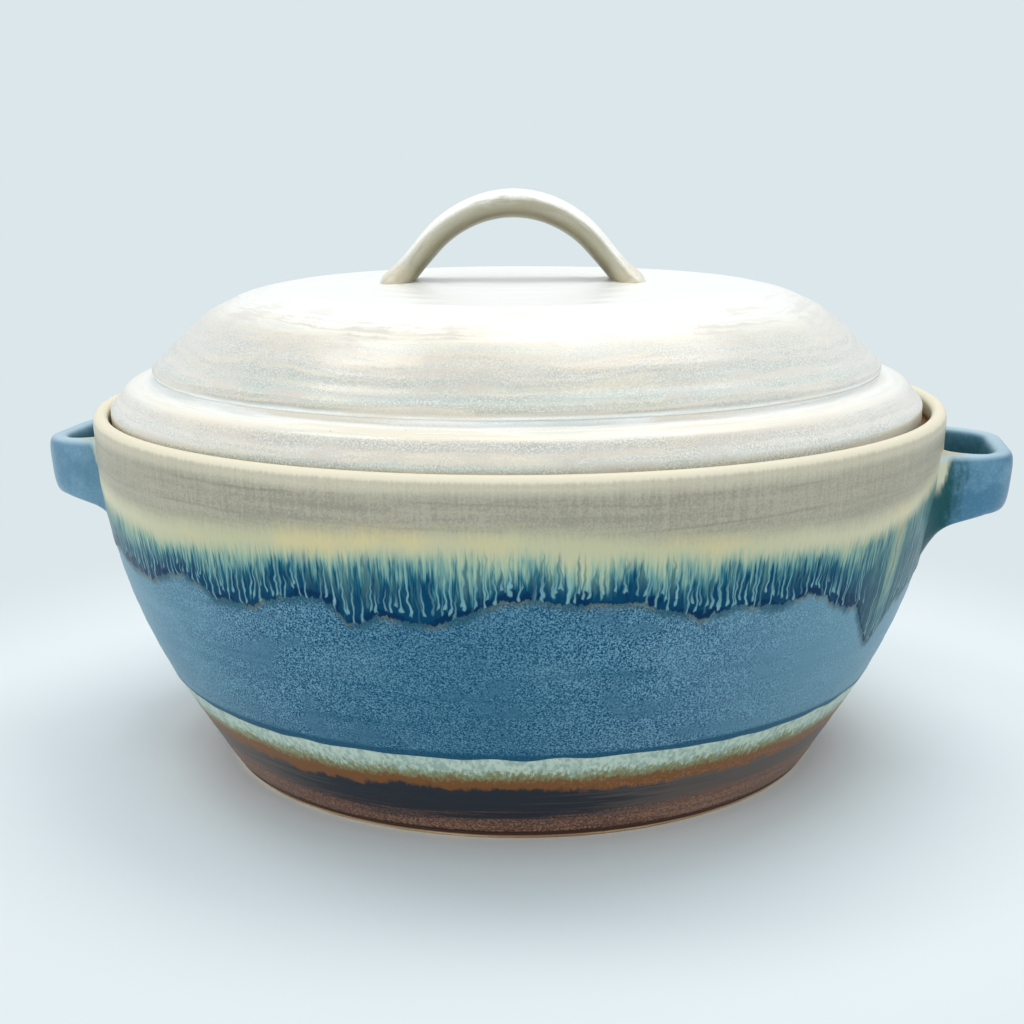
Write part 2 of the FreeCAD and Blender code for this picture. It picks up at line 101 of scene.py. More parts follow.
@dataclass
class Skin:
    """A closed grid of points, rows along an outline by columns round it.

    Attributes:
        place: Points in millimetres, rows by columns by 3.
        ends: Whether the rows join up or close in two points.
        corners: Bake coordinates of each cell's four corners, cells by 4 by 2.
        flow: Coordinates that run with the glaze, as place, or None.
    """

    place: Array
    ends: Ends
    corners: Array
    flow: Array | None = None

    def cells(self) -> Array:
        """Vertex numbers of each cell's corners, row by row: here, next column, both one row on."""
        rows, columns = self.place.shape[:2]
        last = rows if self.ends is Ends.JOINED else rows - 1
        row, column = np.meshgrid(np.arange(last), np.arange(columns), indexing="ij")
        onward, beside = (row + 1) % rows, (column + 1) % columns
        return np.stack([row * columns + column, row * columns + beside,
                         onward * columns + beside, onward * columns + column], axis=-1)

    def mesh(self, name: str) -> bpy.types.Object:
        """Put the grid down as a closed mesh, its faces outward.

        Args:
            name: Name of the piece.

        Returns:
            The new object, at the origin.
        """
        place = self.place * MM
        cell, corner = self.cells(), self.corners
        if self.volume(place, cell) < 0:
            cell, corner = cell[..., ::-1], corner[..., ::-1, :]
        if self.ends is Ends.POLES:
            place, cell = self.close(place, cell)
        flat = cell.reshape(-1, 4)
        spots = corner.reshape(-1, 4, 2)
        pinched = (flat == np.roll(flat, -1, axis=1)).any(axis=1)
        quads, quad_spots = flat[~pinched], spots[~pinched]
        keep = flat[pinched] != np.roll(flat[pinched], -1, axis=1)
        triangles = flat[pinched][keep].reshape(-1, 3)
        triangle_spots = spots[pinched][keep].reshape(-1, 3, 2)
        mesh = bpy.data.meshes.new(name)
        mesh.from_pydata(place.reshape(-1, 3), [], quads.tolist() + triangles.tolist())
        mesh.polygons.foreach_set("use_smooth", np.ones(len(mesh.polygons), bool))
        layer = mesh.uv_layers.new(name="OFBake")
        uv = np.concatenate([quad_spots.reshape(-1, 2), triangle_spots.reshape(-1, 2)])
        layer.uv.foreach_set("vector", uv.astype(np.float32).ravel())
        if self.flow is not None:
            flow = self.flow
            if self.ends is Ends.POLES:
                flow, _ = self.close(flow, self.cells())
            attribute = mesh.attributes.new("flow", "FLOAT_VECTOR", "POINT")
            attribute.data.foreach_set("vector", flow.astype(np.float32).ravel())
        mesh.validate()
        piece = bpy.data.objects.new(name, mesh)
        bpy.context.scene.collection.objects.link(piece)
        return piece

    @staticmethod
    def volume(place: Array, cell: Array) -> float:
        """Six times the signed volume: each cell's corner dotted with its diagonals' cross product."""
        flat = place.reshape(-1, 3)[cell]
        across, along = flat[..., 2, :] - flat[..., 0, :], flat[..., 3, :] - flat[..., 1, :]
        return float((flat[..., 0, :] * np.cross(across, along)).sum())

    @staticmethod
    def close(place: Array, cell: Array) -> tuple[Array, Array]:
        """Make one vertex of the first row and one of the last.

        Args:
            place: Values at the grid's points.
            cell: Vertex numbers of each cell's corners.

        Returns:
            The values that are left, one vertex a row, and the cells with the new vertex numbers.
        """
        columns = place.shape[1]
        flat = place.reshape(-1, 3)
        first, last = flat[:columns].mean(axis=0), flat[-columns:].mean(axis=0)
        kept = np.concatenate([[first], flat[columns:-columns], [last]])
        number = np.clip(cell - columns + 1, 0, len(kept) - 1)
        return kept, number


def turned(radius: Array, height: Array, angle: Array, centre: tuple[float, float] = (0, 0)) -> Array:
    """Points at a radius and a height for each row and column, turned about an upright axis.

    Args:
        radius: Radii, rows by columns or one a row.
        height: Heights, in the same way.
        angle: Angles of the columns.
        centre: Where the axis stands.

    Returns:
        Points, rows by columns by 3.
    """
    shape = np.broadcast_shapes(radius.shape, height.shape, (1, len(angle)))
    x = centre[0] + radius * np.cos(angle)
    y = centre[1] + radius * np.sin(angle)
    return np.stack([np.broadcast_to(part, shape) for part in (x, y, height)], axis=-1)


def around(columns: int) -> Array:
    """Angles of the columns round a turned piece."""
    return np.arange(columns) * TURN / columns


def strip_spots(share: Array, columns: int, strips: int) -> Array:
    """Bake coordinates of a band: it is cut across in equal lengths, laid one above another.

    Args:
        share: Place of each row of points along the outline, rising from 0 to 1.
        columns: Columns round the band.
        strips: How many lengths it is cut in.

    Returns:
        Coordinates of each cell's four corners.
    """
    gap = 0.008
    length = columns // strips
    strip = np.arange(columns) // length
    left = (np.arange(columns) % length) / length
    u = np.stack([left, left + 1 / length, left + 1 / length, left], axis=-1)
    v = np.stack([share[:-1], share[:-1], share[1:], share[1:]], axis=-1)
    u = gap + (1 - 2 * gap) * u[None, :, :]
    v = (strip[None, :, None] + gap * strips / 2 + (1 - gap * strips) * v[:, None, :]) / strips
    return np.stack(np.broadcast_arrays(u, v), axis=-1)


def disc_spots(reach: Array, columns: int, centre: tuple[float, float]) -> Array:
    """Bake coordinates of a round piece seen along its axis.

    Args:
        reach: Distance of each row of points from the disc's centre.
        columns: Columns round the piece.
        centre: The disc's centre.

    Returns:
        Coordinates of each cell's four corners.
    """
    angle = np.arange(columns + 1) * TURN / columns
    corner_angle = np.stack([angle[:-1], angle[1:], angle[1:], angle[:-1]], axis=-1)[None]
    corner_reach = np.stack([reach[:-1], reach[:-1], reach[1:], reach[1:]], axis=-1)[:, None]
    u = centre[0] + corner_reach * np.cos(corner_angle)
    v = centre[1] + corner_reach * np.sin(corner_angle)
    return np.stack([u, v], axis=-1)


def lengths(outline: Array) -> Array:
    """Distance along an outline up to each of its points."""
    return np.concatenate([[0], np.cumsum(np.hypot(*np.diff(outline, axis=0).T))])


def travel(outline: Array) -> Array:
    """Unit direction of travel at each point of an outline."""
    along = np.gradient(outline, axis=0)
    return along / np.hypot(*along.T)[:, None]


def two_discs(outline: Array, turn_row: int, columns: int) -> Array:
    """Bake coordinates of a bowl or lid: its showing side as a large disc, its back as a small one.

    Args:
        outline: Points of the outline, from one pole to the other.
        turn_row: Row at which the showing side ends.
        columns: Columns round the piece.

    Returns:
        Coordinates of each cell's four corners.
    """
    large, small, corner = 0.49, 0.07, 0.08
    length = lengths(outline)
    front = length[:turn_row + 1] / length[turn_row] * large
    back = (length[-1] - length[turn_row:]) / max(length[-1] - length[turn_row], MM) * small
    return np.concatenate([disc_spots(front, columns, (0.5, 0.5)),
                           disc_spots(back, columns, (corner, corner))])


def bent(corners: list[tuple[float, float, float]], step: float) -> Array:
    """Points along straight runs joined by tangent arcs.

    Args:
        corners: Radius, height and rounding of each corner; the first and last are plain ends.
        step: Distance between points, in millimetres.

    Returns:
        Points, one row each.
    """
    points = np.array([corner[:2] for corner in corners], float)
    pieces, here = [], points[0]
    for before, corner, after, bend in zip(points, points[1:], points[2:],
                                           [corner[2] for corner in corners[1:]]):
        back, onward = (before - corner), (after - corner)
        back, onward = back / np.hypot(*back), onward / np.hypot(*onward)
        half = math.acos(float(np.clip(back @ onward, -1, 1))) / 2
        reach = bend / math.tan(half)
        first, last = corner + back * reach, corner + onward * reach
        pieces.append(spaced(here, first, step))
        if bend > 0:
            middle = back + onward
            centre = corner + middle / np.hypot(*middle) * bend / math.sin(half)
            pieces.append(swing(centre, first, last, step))
        here = last
    pieces.append(spaced(here, points[-1], step))
    return np.concatenate(pieces + [points[-1:]])


def inset(corners: Array, depth: float) -> Array:
    """Inner corners of a line of straight runs, moved in by a depth; outward is on the left of the travel.

    A corner moves by the vector that has the depth, inward, along the normals of both its runs.

    Args:
        corners: The line's start, its corners and its end, one row each.
        depth: How far the runs move in.

    Returns:
        The moved corners, without start and end.
    """
    along = np.diff(corners, axis=0)
    along /= np.hypot(*along.T)[:, None]
    normal = np.stack([-along[:, 1], along[:, 0]], axis=-1)
    pairs = np.stack([normal[:-1], normal[1:]], axis=1)
    step = np.linalg.solve(pairs, np.full((len(pairs), 2, 1), -depth))
    return corners[1:-1] + step[..., 0]


def spaced(start: Array, end: Array, step: float) -> Array:
    """Even points along a straight run, without its end."""
    count = max(1, round(float(np.hypot(*(end - start))) / step))
    share = np.arange(count)[:, None] / count
    return start + (end - start) * share


def swing(centre: Array, start: Array, end: Array, step: float) -> Array:
    """Even points along the shorter arc about a centre, without its end.

    Args:
        centre: The arc's centre.
        start: Its first point.
        end: Its last point.
        step: Twice the distance between points.

    Returns:
        Points, one row each.
    """
    from_angle = math.atan2(*(start - centre)[::-1])
    to_angle = math.atan2(*(end - centre)[::-1])
    sweep = (to_angle - from_angle + math.pi) % TURN - math.pi
    radius = float(np.hypot(*(start - centre)))
    count = max(3, round(abs(sweep) * radius / (step * 0.5)))
    angle = from_angle + sweep * np.arange(count) / count
    return centre + radius * np.stack([np.cos(angle), np.sin(angle)], axis=-1)


def eased(outline: Array, depth: Array) -> tuple[Array, Array]:
    """Move an outline's points along its normals, towards the right of the travel.

    Args:
        outline: Points, one row each.
        depth: How far each point moves, rows by columns.

    Returns:
        Radii and heights, rows by columns.
    """
    along = travel(outline)
    radius = outline[:, :1] + along[:, 1:] * depth
    height = outline[:, 1:] - along[:, :1] * depth
    return np.maximum(radius, 0), height


# The pot

# Height of the cream glaze's lower edge round the pot: azimuth from +X in degrees, and millimetres.
EDGE = (
    (-149, 84.4), (-145, 80.8), (-136.3, 79.6), (-131.8, 84.0), (-128.1, 86.2), (-124.2, 84.4),
    (-122.3, 80.8), (-119.6, 81.4), (-115.8, 80.6), (-113.7, 83.8), (-109.1, 86.4), (-106.8, 87.0),
    (-104.1, 84.6), (-102.7, 79.0), (-101.2, 80.2), (-98.6, 83.0), (-96.3, 82.2), (-92.7, 80.6),
    (-90.6, 82.6), (-87.2, 86.0), (-85.5, 88.2), (-82.2, 89.2), (-79.5, 88.8), (-76.7, 87.0),
    (-74.0, 87.6), (-68.8, 87.0), (-67.6, 85.4), (-64.6, 83.0), (-61.6, 80.2), (-58.5, 82.4),
    (-56.8, 83.0), (-53.2, 81.4), (-50.3, 81.2), (-46.4, 82.4), (-43.6, 80.8), (-41.9, 77.6),
    (-38.6, 74.2), (-36.1, 73.8), (-33.7, 67.0), (-29.3, 56.4), (-27.9, 56.2), (-23.7, 67.8),
    (-12.6, 71.4), (-4, 75.0), (5, 73.6), (14, 77.4), (21, 78.6), (27, 82.6), (33, 80.4), (41, 81.6),
    (47, 77.0), (52, 76.2), (57, 82.0), (64, 83.4), (70, 83.8), (76, 86.4), (81, 79.6), (85, 78.4),
    (90, 84.2), (96, 75.6), (99, 76.8), (104, 82.6), (112, 80.6), (118, 83.2), (126, 80.0),
    (131, 77.4), (137, 83.6), (146, 80.4), (153, 84.0), (162, 78.6), (172, 76.0), (180, 72.4),
    (188, 73.2), (196, 77.8), (204, 80.0),
)

# Height up to which it breaks to green and teal, round the pot.
BREAK = (
    (-149, 97.5), (-131, 95.6), (-115, 98.5), (-98, 101.0), (-83, 102.8), (-66, 99.5), (-50, 96.5),
    (-39, 94.6), (-27, 97.0), (-16, 103.0), (-6, 110.0), (6, 110.0), (16, 102.0), (35, 97.0),
    (60, 100.5), (85, 96.0), (110, 101.0), (135, 97.0), (160, 101.0), (174, 110.0), (186, 110.0),
    (197, 101.0),
)

# How dark it breaks, round the pot: 0 is middling, more is darker and less is paler.
TONE = (
    (-150, 0.15), (-135, 0.20), (-120, 0.15), (-108, 0.28), (-96, 0.30), (-90.5, 0.24), (-88, -0.05),
    (-82.5, 0.0), (-80.5, 0.16), (-78, -0.12), (-73.5, -0.15), (-71.5, 0.30), (-69.3, 0.30), (-68, -0.1),
    (-65, 0.15), (-58, 0.30), (-50, 0.25), (-44, 0.30), (-38, 0.15), (-31, 0.35), (-28.4, -0.35),
    (-26, 0.35), (-18, 0.30), (-8, 0.35), (8, 0.35), (20, 0.10), (40, 0.20), (60, 0.0), (80, 0.25),
    (100, 0.10), (120, 0.30), (140, 0.0), (160, 0.20), (174, 0.35), (187, 0.35), (198, 0.15),
)


def round_line(points: tuple, angle: Array) -> Array:
    """Heights on the line through points round the pot, averaged over a degree so that it bends softly."""
    azimuth, height = np.array(points).T
    near = np.degrees(angle)[None] + np.linspace(-0.5, 0.5, 5)[:, None]
    return np.interp(near, azimuth, height, period=360).mean(axis=0)


@dataclass
class Pot:
    """The thrown pot: its clay, and the coats of glaze on it.

    Lengths are in millimetres, and depth is measured inward from the outside of the glaze.

    Attributes:
        bow_radius: Radius of the side's bow, which is upright bow_below_rim under the rim.
        flare: Lean of the straight lower side.
        liner_below_ledge: How far under the ledge's top the glaze inside ends.
        lip_wrap: How far the cream glaze reaches down inside the lip.
        lip_swell: How much thicker the cream glaze starts under the lip, easing off over swell_height.
        blue_top: Height up to which the blue coat runs on under the cream one.
        foot_lap: How far the foot's coat runs up under the blue one.
        sunk: How far a coat's back lies in the clay.
        crowding: Power by which rows crowd towards a coat's lower edge.
        edge_round: Height over which a coat's lower edge rounds off.
        gather_height: Height up to which glaze gathers above a coat's lower edge.
        gather_uneven: How unevenly it gathers there.
        columns: Columns round the cream coat, round the lower coats, and round clay and liner.
        bake_strips: Lengths that a coat is cut in for baking.
        bake_back: Share of its true size that a coat's back takes in the bake.
    """

    rim_radius: float
    rim_height: float
    rim_thickness: float = 5.1
    bow_radius: float = 185.0
    bow_below_rim: float = 2.5
    flare: float = math.radians(31.0)
    wall: float = 7.0
    glaze: float = 0.6
    foot_ring: float = 13.0
    foot_recess: float = 3.0
    foot_bevel: float = 1.2
    floor: float = 9.0
    floor_fillet: float = 26.0
    ledge_below_rim: float = 9.0
    ledge_width: float = 9.0
    ledge_nose: float = 5.5
    ledge_haunch: float = 16.0
    ledge_round: float = 1.2
    liner_below_ledge: float = 2.0
    lip_wrap: float = 4.0
    bare_foot: float = 2.2
    foot_band: float = 34.5
    blue_top: float = 96.0
    foot_lap: float = 4.0
    lip_swell: float = 0.1
    swell_height: float = 12.0
    belly_depth: float = 0.15
    foot_depth: float = 0.30
    sunk: float = 0.3
    crowding: float = 1.6
    edge_round: float = 0.9
    gather_height: float = 3.2
    gather_uneven: float = 0.35
    columns: tuple[int, int, int] = (1200, 960, 480)
    bake_strips: int = 4
    bake_back: float = 0.15

    def touch(self, depth: Array | float) -> Array | float:
        """Height at which the side's bow runs into its flare: upright - bow * sin(flare)."""
        return self.rim_height - self.bow_below_rim - (self.bow_radius - depth) * math.sin(self.flare)

    def wall_radius(self, height: Array, depth: Array | float = 0.0) -> Array:
        """Radius of the side: a bow that runs tangent into a straight flare towards the foot.

        The bow is middle + sqrt(bow ^ 2 - (height - upright) ^ 2), and the flare is its tangent.

        Args:
            height: Heights above the floor.
            depth: Depth under the outside of the glaze.

        Returns:
            Radii.
        """
        middle, upright = self.rim_radius - self.bow_radius, self.rim_height - self.bow_below_rim
        bow, touch = self.bow_radius - depth, self.touch(depth)
        bowed = middle + np.sqrt(np.maximum(bow ** 2 - (height - upright) ** 2, 0))
        straight = middle + bow * math.cos(self.flare) - (touch - height) * math.tan(self.flare)
        return np.where(height >= touch, bowed, straight)

    def radius_at(self, height: float, depth: float = 0.0) -> float:
        """Radius of the side at one height."""
        return float(self.wall_radius(np.array(height), depth))

    @property
    def lip_foot(self) -> float:
        """Height at which the lip's rounding begins."""
        return self.rim_height - self.rim_thickness / 2

    @property
    def gallery(self) -> float:
        """Radius of the gallery above the ledge."""
        return self.radius_at(self.lip_foot) - self.rim_thickness

    @property
    def ledge(self) -> float:
        """Height of the ledge that carries the lid."""
        return self.rim_height - self.ledge_below_rim

    def lip(self, depth: float, count: int = 14) -> Array:
        """Points over the lip from the gallery outward: half an ellipse, depth under the glaze.

        Args:
            depth: Depth under the outside of the glaze.
            count: How many points there are.

        Returns:
            Points, one row each.
        """
        inner = self.gallery + depth
        outer = self.radius_at(self.lip_foot, depth)
        turn = np.linspace(math.pi, 0, count)
        radius = (inner + outer) / 2 + (outer - inner) / 2 * np.cos(turn)
        height = self.lip_foot + (self.rim_thickness / 2 - depth) * np.sin(turn)
        return np.stack([radius, height], axis=-1)

    def side(self, depth: float, low: float, high: float, count: int) -> Array:
        """Points down the side between two heights."""
        height = np.linspace(high, low, count)
        return np.stack([self.wall_radius(height, depth), height], axis=-1)

    def inside(self, depth: float, step: float) -> Array:
        """Points of the inside, from under the ledge's top down to the middle of the floor.

        Args:
            depth: Depth under the surface of the glaze inside.
            step: Distance between points.

        Returns:
            Points, one row each.
        """
        nose = self.gallery - self.ledge_width + depth
        under = self.wall - depth
        haunch = self.ledge - self.ledge_haunch
        floor = self.foot_recess + self.floor - depth
        top = bent([(nose, self.ledge - self.liner_below_ledge, 0),
                    (nose, self.ledge - self.ledge_nose, self.ledge_round),
                    (self.radius_at(haunch, under), haunch, 0)], step)
        middle = self.side(under, self.touch(under), haunch, 36)
        low = bent([(*middle[-1], 0), (self.radius_at(floor, under), floor, self.floor_fillet + depth),
                    (0, floor, 0)], step)
        return np.concatenate([top, middle[1:], low[1:]])

    def run_edge(self, angle: Array) -> Array:
        """Height of the cream glaze's lower edge: the line of its runs, a little ragged."""
        ragged = 0.22 * ripple(angle, (60, 150), 9, 5) + 0.16 * ripple(angle, (190, 420), 12, 6)
        return round_line(EDGE, angle) + ragged

    def throwing(self, angle: Array, height: Array) -> Array:
        """Depth of the throwing rings: low waves up the wall that wander a little round it.

        Args:
            angle: Angles of the columns.
            height: Heights of the points.

        Returns:
            Depth of each point under the smooth surface.
        """
        wander = 0.9 * ripple(angle, (1, 3), 3, 11)
        slow = np.sin((height + wander) * TURN / 9.5)
        quick = np.sin((height + 0.6 * wander) * TURN / 3.7 + 1.0)
        uneven = ripple(angle, (2, 7), 5, 12) * np.sin(height * TURN / 37)
        return 0.10 + 0.045 * slow + 0.02 * quick + 0.03 * uneven

    def flow(self, angle: Array, above: Array) -> Array:
        """Coordinates that run with the glaze: height above its edge, height of the break, its tone."""
        broken = round_line(BREAK, angle) - self.run_edge(angle)
        return np.stack(np.broadcast_arrays(above, broken[None], round_line(TONE, angle)[None]), axis=-1)

    def coat(self, angle: Array, high: Array, low: Array, depth: float, roll: float,
             rows: int) -> tuple[Array, Array, Array]:
        """Outer rows of a coat down the side, rounded off at its lower edge.

        Rows crowd towards the edge: the distance above it is (high - low) * share ^ crowding. The
        coat swells by roll where the glaze gathered, then turns in by a quarter circle.

        Args:
            angle: Angles of the columns.
            high: Height of the coat's top at each column.
            low: Height of its lower edge at each column.
            depth: Depth of its surface.
            roll: How far its gathered edge stands out.
            rows: Rows of points.

        Returns:
            Radii, heights, and heights above the lower edge.
        """
        share = np.linspace(1, 0, rows)[:, None] ** self.crowding
        above = (high - low)[None] * share
        height = low[None] + above
        uneven = 1 + self.gather_uneven * ripple(angle, (20, 60), 6, 21)
        gathered = roll * np.exp(-(above / self.gather_height) ** 2) * uneven
        surface = depth + self.throwing(angle[None, :], height) - gathered
        turn_in = 1 - np.sqrt(1 - (1 - np.clip(above / self.edge_round, 0, 1)) ** 2)
        buried = depth + roll + self.sunk
        surface = surface + (buried - surface) * turn_in
        return self.wall_radius(height, surface), height, above

    def shell(self, name: str, angle: Array,
              rows: list[tuple[Array, Array, Array]]) -> bpy.types.Object:
        """Close a coat from runs of rows, each with radius, height and distance above the cream's edge.

        Args:
            name: Name of the piece.
            angle: Angles of the columns.
            rows: The runs of rows; the first half of them shows, and the rest is the coat's back.

        Returns:
            The new piece.
        """
        radius, height, above = (np.concatenate([np.broadcast_to(part[k], (len(part[k]), len(angle)))
                                                 for part in rows]) for k in range(3))
        place = turned(radius, height, angle)
        middle = place[:, 0]
        step = np.linalg.norm(np.diff(np.concatenate([middle, middle[:1]]), axis=0), axis=-1)
        step[sum(len(part[0]) for part in rows[:len(rows) // 2]):] *= self.bake_back
        share = np.concatenate([[0], np.cumsum(step)]) / step.sum()
        spots = strip_spots(share, len(angle), self.bake_strips)
        return Skin(place, Ends.JOINED, spots, self.flow(angle, above)).mesh(name)

    def cream_coat(self) -> bpy.types.Object:
        """Cream glaze from inside the lip, over the rim and down the side to its running edge."""
        angle, behind = around(self.columns[0]), self.glaze + self.sunk
        edge = self.run_edge(angle)
        wrap_end = self.lip_foot - self.lip_wrap
        wrap = bent([(self.gallery, wrap_end, 0), (self.gallery, self.lip_foot, 0)], 1)
        lip = np.concatenate([wrap[:-1], self.lip(0.0)])
        inner_lip = np.concatenate([self.lip(behind)[-2::-1], [[self.gallery + behind, wrap_end]]])
        top = np.full_like(angle, self.lip_foot)
        radius, height, above = self.coat(angle, top, edge, 0.0, 0.12, 62)
        eased_off = self.lip_swell * smooth(0, self.swell_height, self.lip_foot - height)
        radius = radius + self.lip_swell - eased_off
        back = edge[None] + (top - edge)[None] * np.array([0.0, 0.35, 1.0])[:, None]
        rows = [(lip[:, :1], lip[:, 1:], lip[:, 1:] - edge[None]),
                (radius[1:], height[1:], above[1:]),
                (self.wall_radius(back, behind), back, back - edge[None]),
                (inner_lip[:, :1], inner_lip[:, 1:], inner_lip[:, 1:] - edge[None])]
        return self.shell("cream_coat", angle, rows)

    def band(self, name: str, high: float, low: Array, depth: float, roll: float, line: Array,
             rows: int) -> bpy.types.Object:
        """A coat down the side that starts under another one.

        Args:
            name: Name of the piece.
            high: Height of the coat's top.
            low: Height of its lower edge at each column.
            depth: Depth of its surface.
            roll: How far its gathered edge stands out.
            line: Height that its flow is measured from, at each column.
            rows: Rows of points on its outside.

        Returns:
            The new piece.
        """
        angle = around(len(low))
        top = np.full_like(angle, high)
        radius, height, _ = self.coat(angle, top, low, depth, roll, rows)
        back = low[None] + (top - low)[None] * np.array([0.0, 0.5, 1.0])[:, None]
        return self.shell(name, angle, [
            (radius, height, height - line[None]),
            (self.wall_radius(back, self.glaze + self.sunk), back, back - line[None])])

    def blue_coat(self) -> bpy.types.Object:
        """Blue glaze on the belly, from under the cream glaze's edge down to the foot's band."""
        angle = around(self.columns[1])
        low = self.foot_band - 0.4 + 0.35 * ripple(angle, (2, 9), 6, 31)
        low = low + 0.2 * ripple(angle, (20, 70), 8, 32)
        return self.band("blue_coat", self.blue_top, low, self.belly_depth, 0.1, self.run_edge(angle), 70)

    def foot_coat(self) -> bpy.types.Object:
        """Dark glaze at the foot, down to a thin line of bare clay."""
        angle = around(self.columns[1])
        low = self.bare_foot + 0.15 + 0.12 * ripple(angle, (3, 14), 6, 33)
        line = np.full_like(angle, self.foot_band)
        return self.band("foot_coat", self.foot_band + self.foot_lap, low, self.foot_depth, 0.0, line, 56)

    def clay(self) -> bpy.types.Object:
        """The bowl itself: foot ring, wall, lip, gallery, ledge and floor, under the glaze."""
        angle = around(self.columns[2])
        foot = self.radius_at(0.0, self.glaze)
        ring, bare, recess = foot - self.foot_ring, self.bare_foot, self.foot_recess
        under = bent([(0, recess, 0), (ring - recess, recess, recess), (ring, 0, self.foot_bevel),
                      (foot, 0, self.foot_bevel), (self.radius_at(bare, self.glaze), bare, 0)], 1.5)
        side = self.side(self.glaze, bare, self.lip_foot, 50)[::-1]
        inner = self.gallery + self.glaze
        nose = inner - self.ledge_width
        shelf = bent([(inner, self.lip_foot, 0), (inner, self.ledge, self.ledge_round),
                      (nose, self.ledge, self.ledge_round),
                      (nose, self.ledge - self.liner_below_ledge, 0)], 1.0)
        outline = np.concatenate([under, side[1:], self.lip(self.glaze)[::-1][1:], shelf[1:],
                                  self.inside(self.glaze, 2.5)[1:]])
        spots = two_discs(outline, len(outline) - 1, len(angle))
        return Skin(turned(outline[:, :1], outline[:, 1:], angle), Ends.POLES, spots).mesh("pot_clay")

    def liner_coat(self) -> bpy.types.Object:
        """Glaze on the inside, up to the ledge's nose."""
        angle = around(self.columns[2])
        shown, hidden = self.inside(0.0, 2.0), self.inside(self.glaze + self.sunk, 4.0)
        ring = 0.10 * np.sin(shown[:, :1] * TURN / 11) * np.ones((1, len(angle)))
        radius, height = eased(shown, 0.12 + ring + 0.05 * ripple(angle, (2, 9), 5, 41))
        height[-1], radius[-1] = height[-1].mean(), 0
        place = np.concatenate([turned(radius, height, angle)[::-1],
                                turned(hidden[:, :1], hidden[:, 1:], angle)])
        spots = two_discs(np.concatenate([shown[::-1], hidden]), len(shown) - 1, len(angle))
        return Skin(place, Ends.POLES, spots).mesh("liner_coat")


# The lid

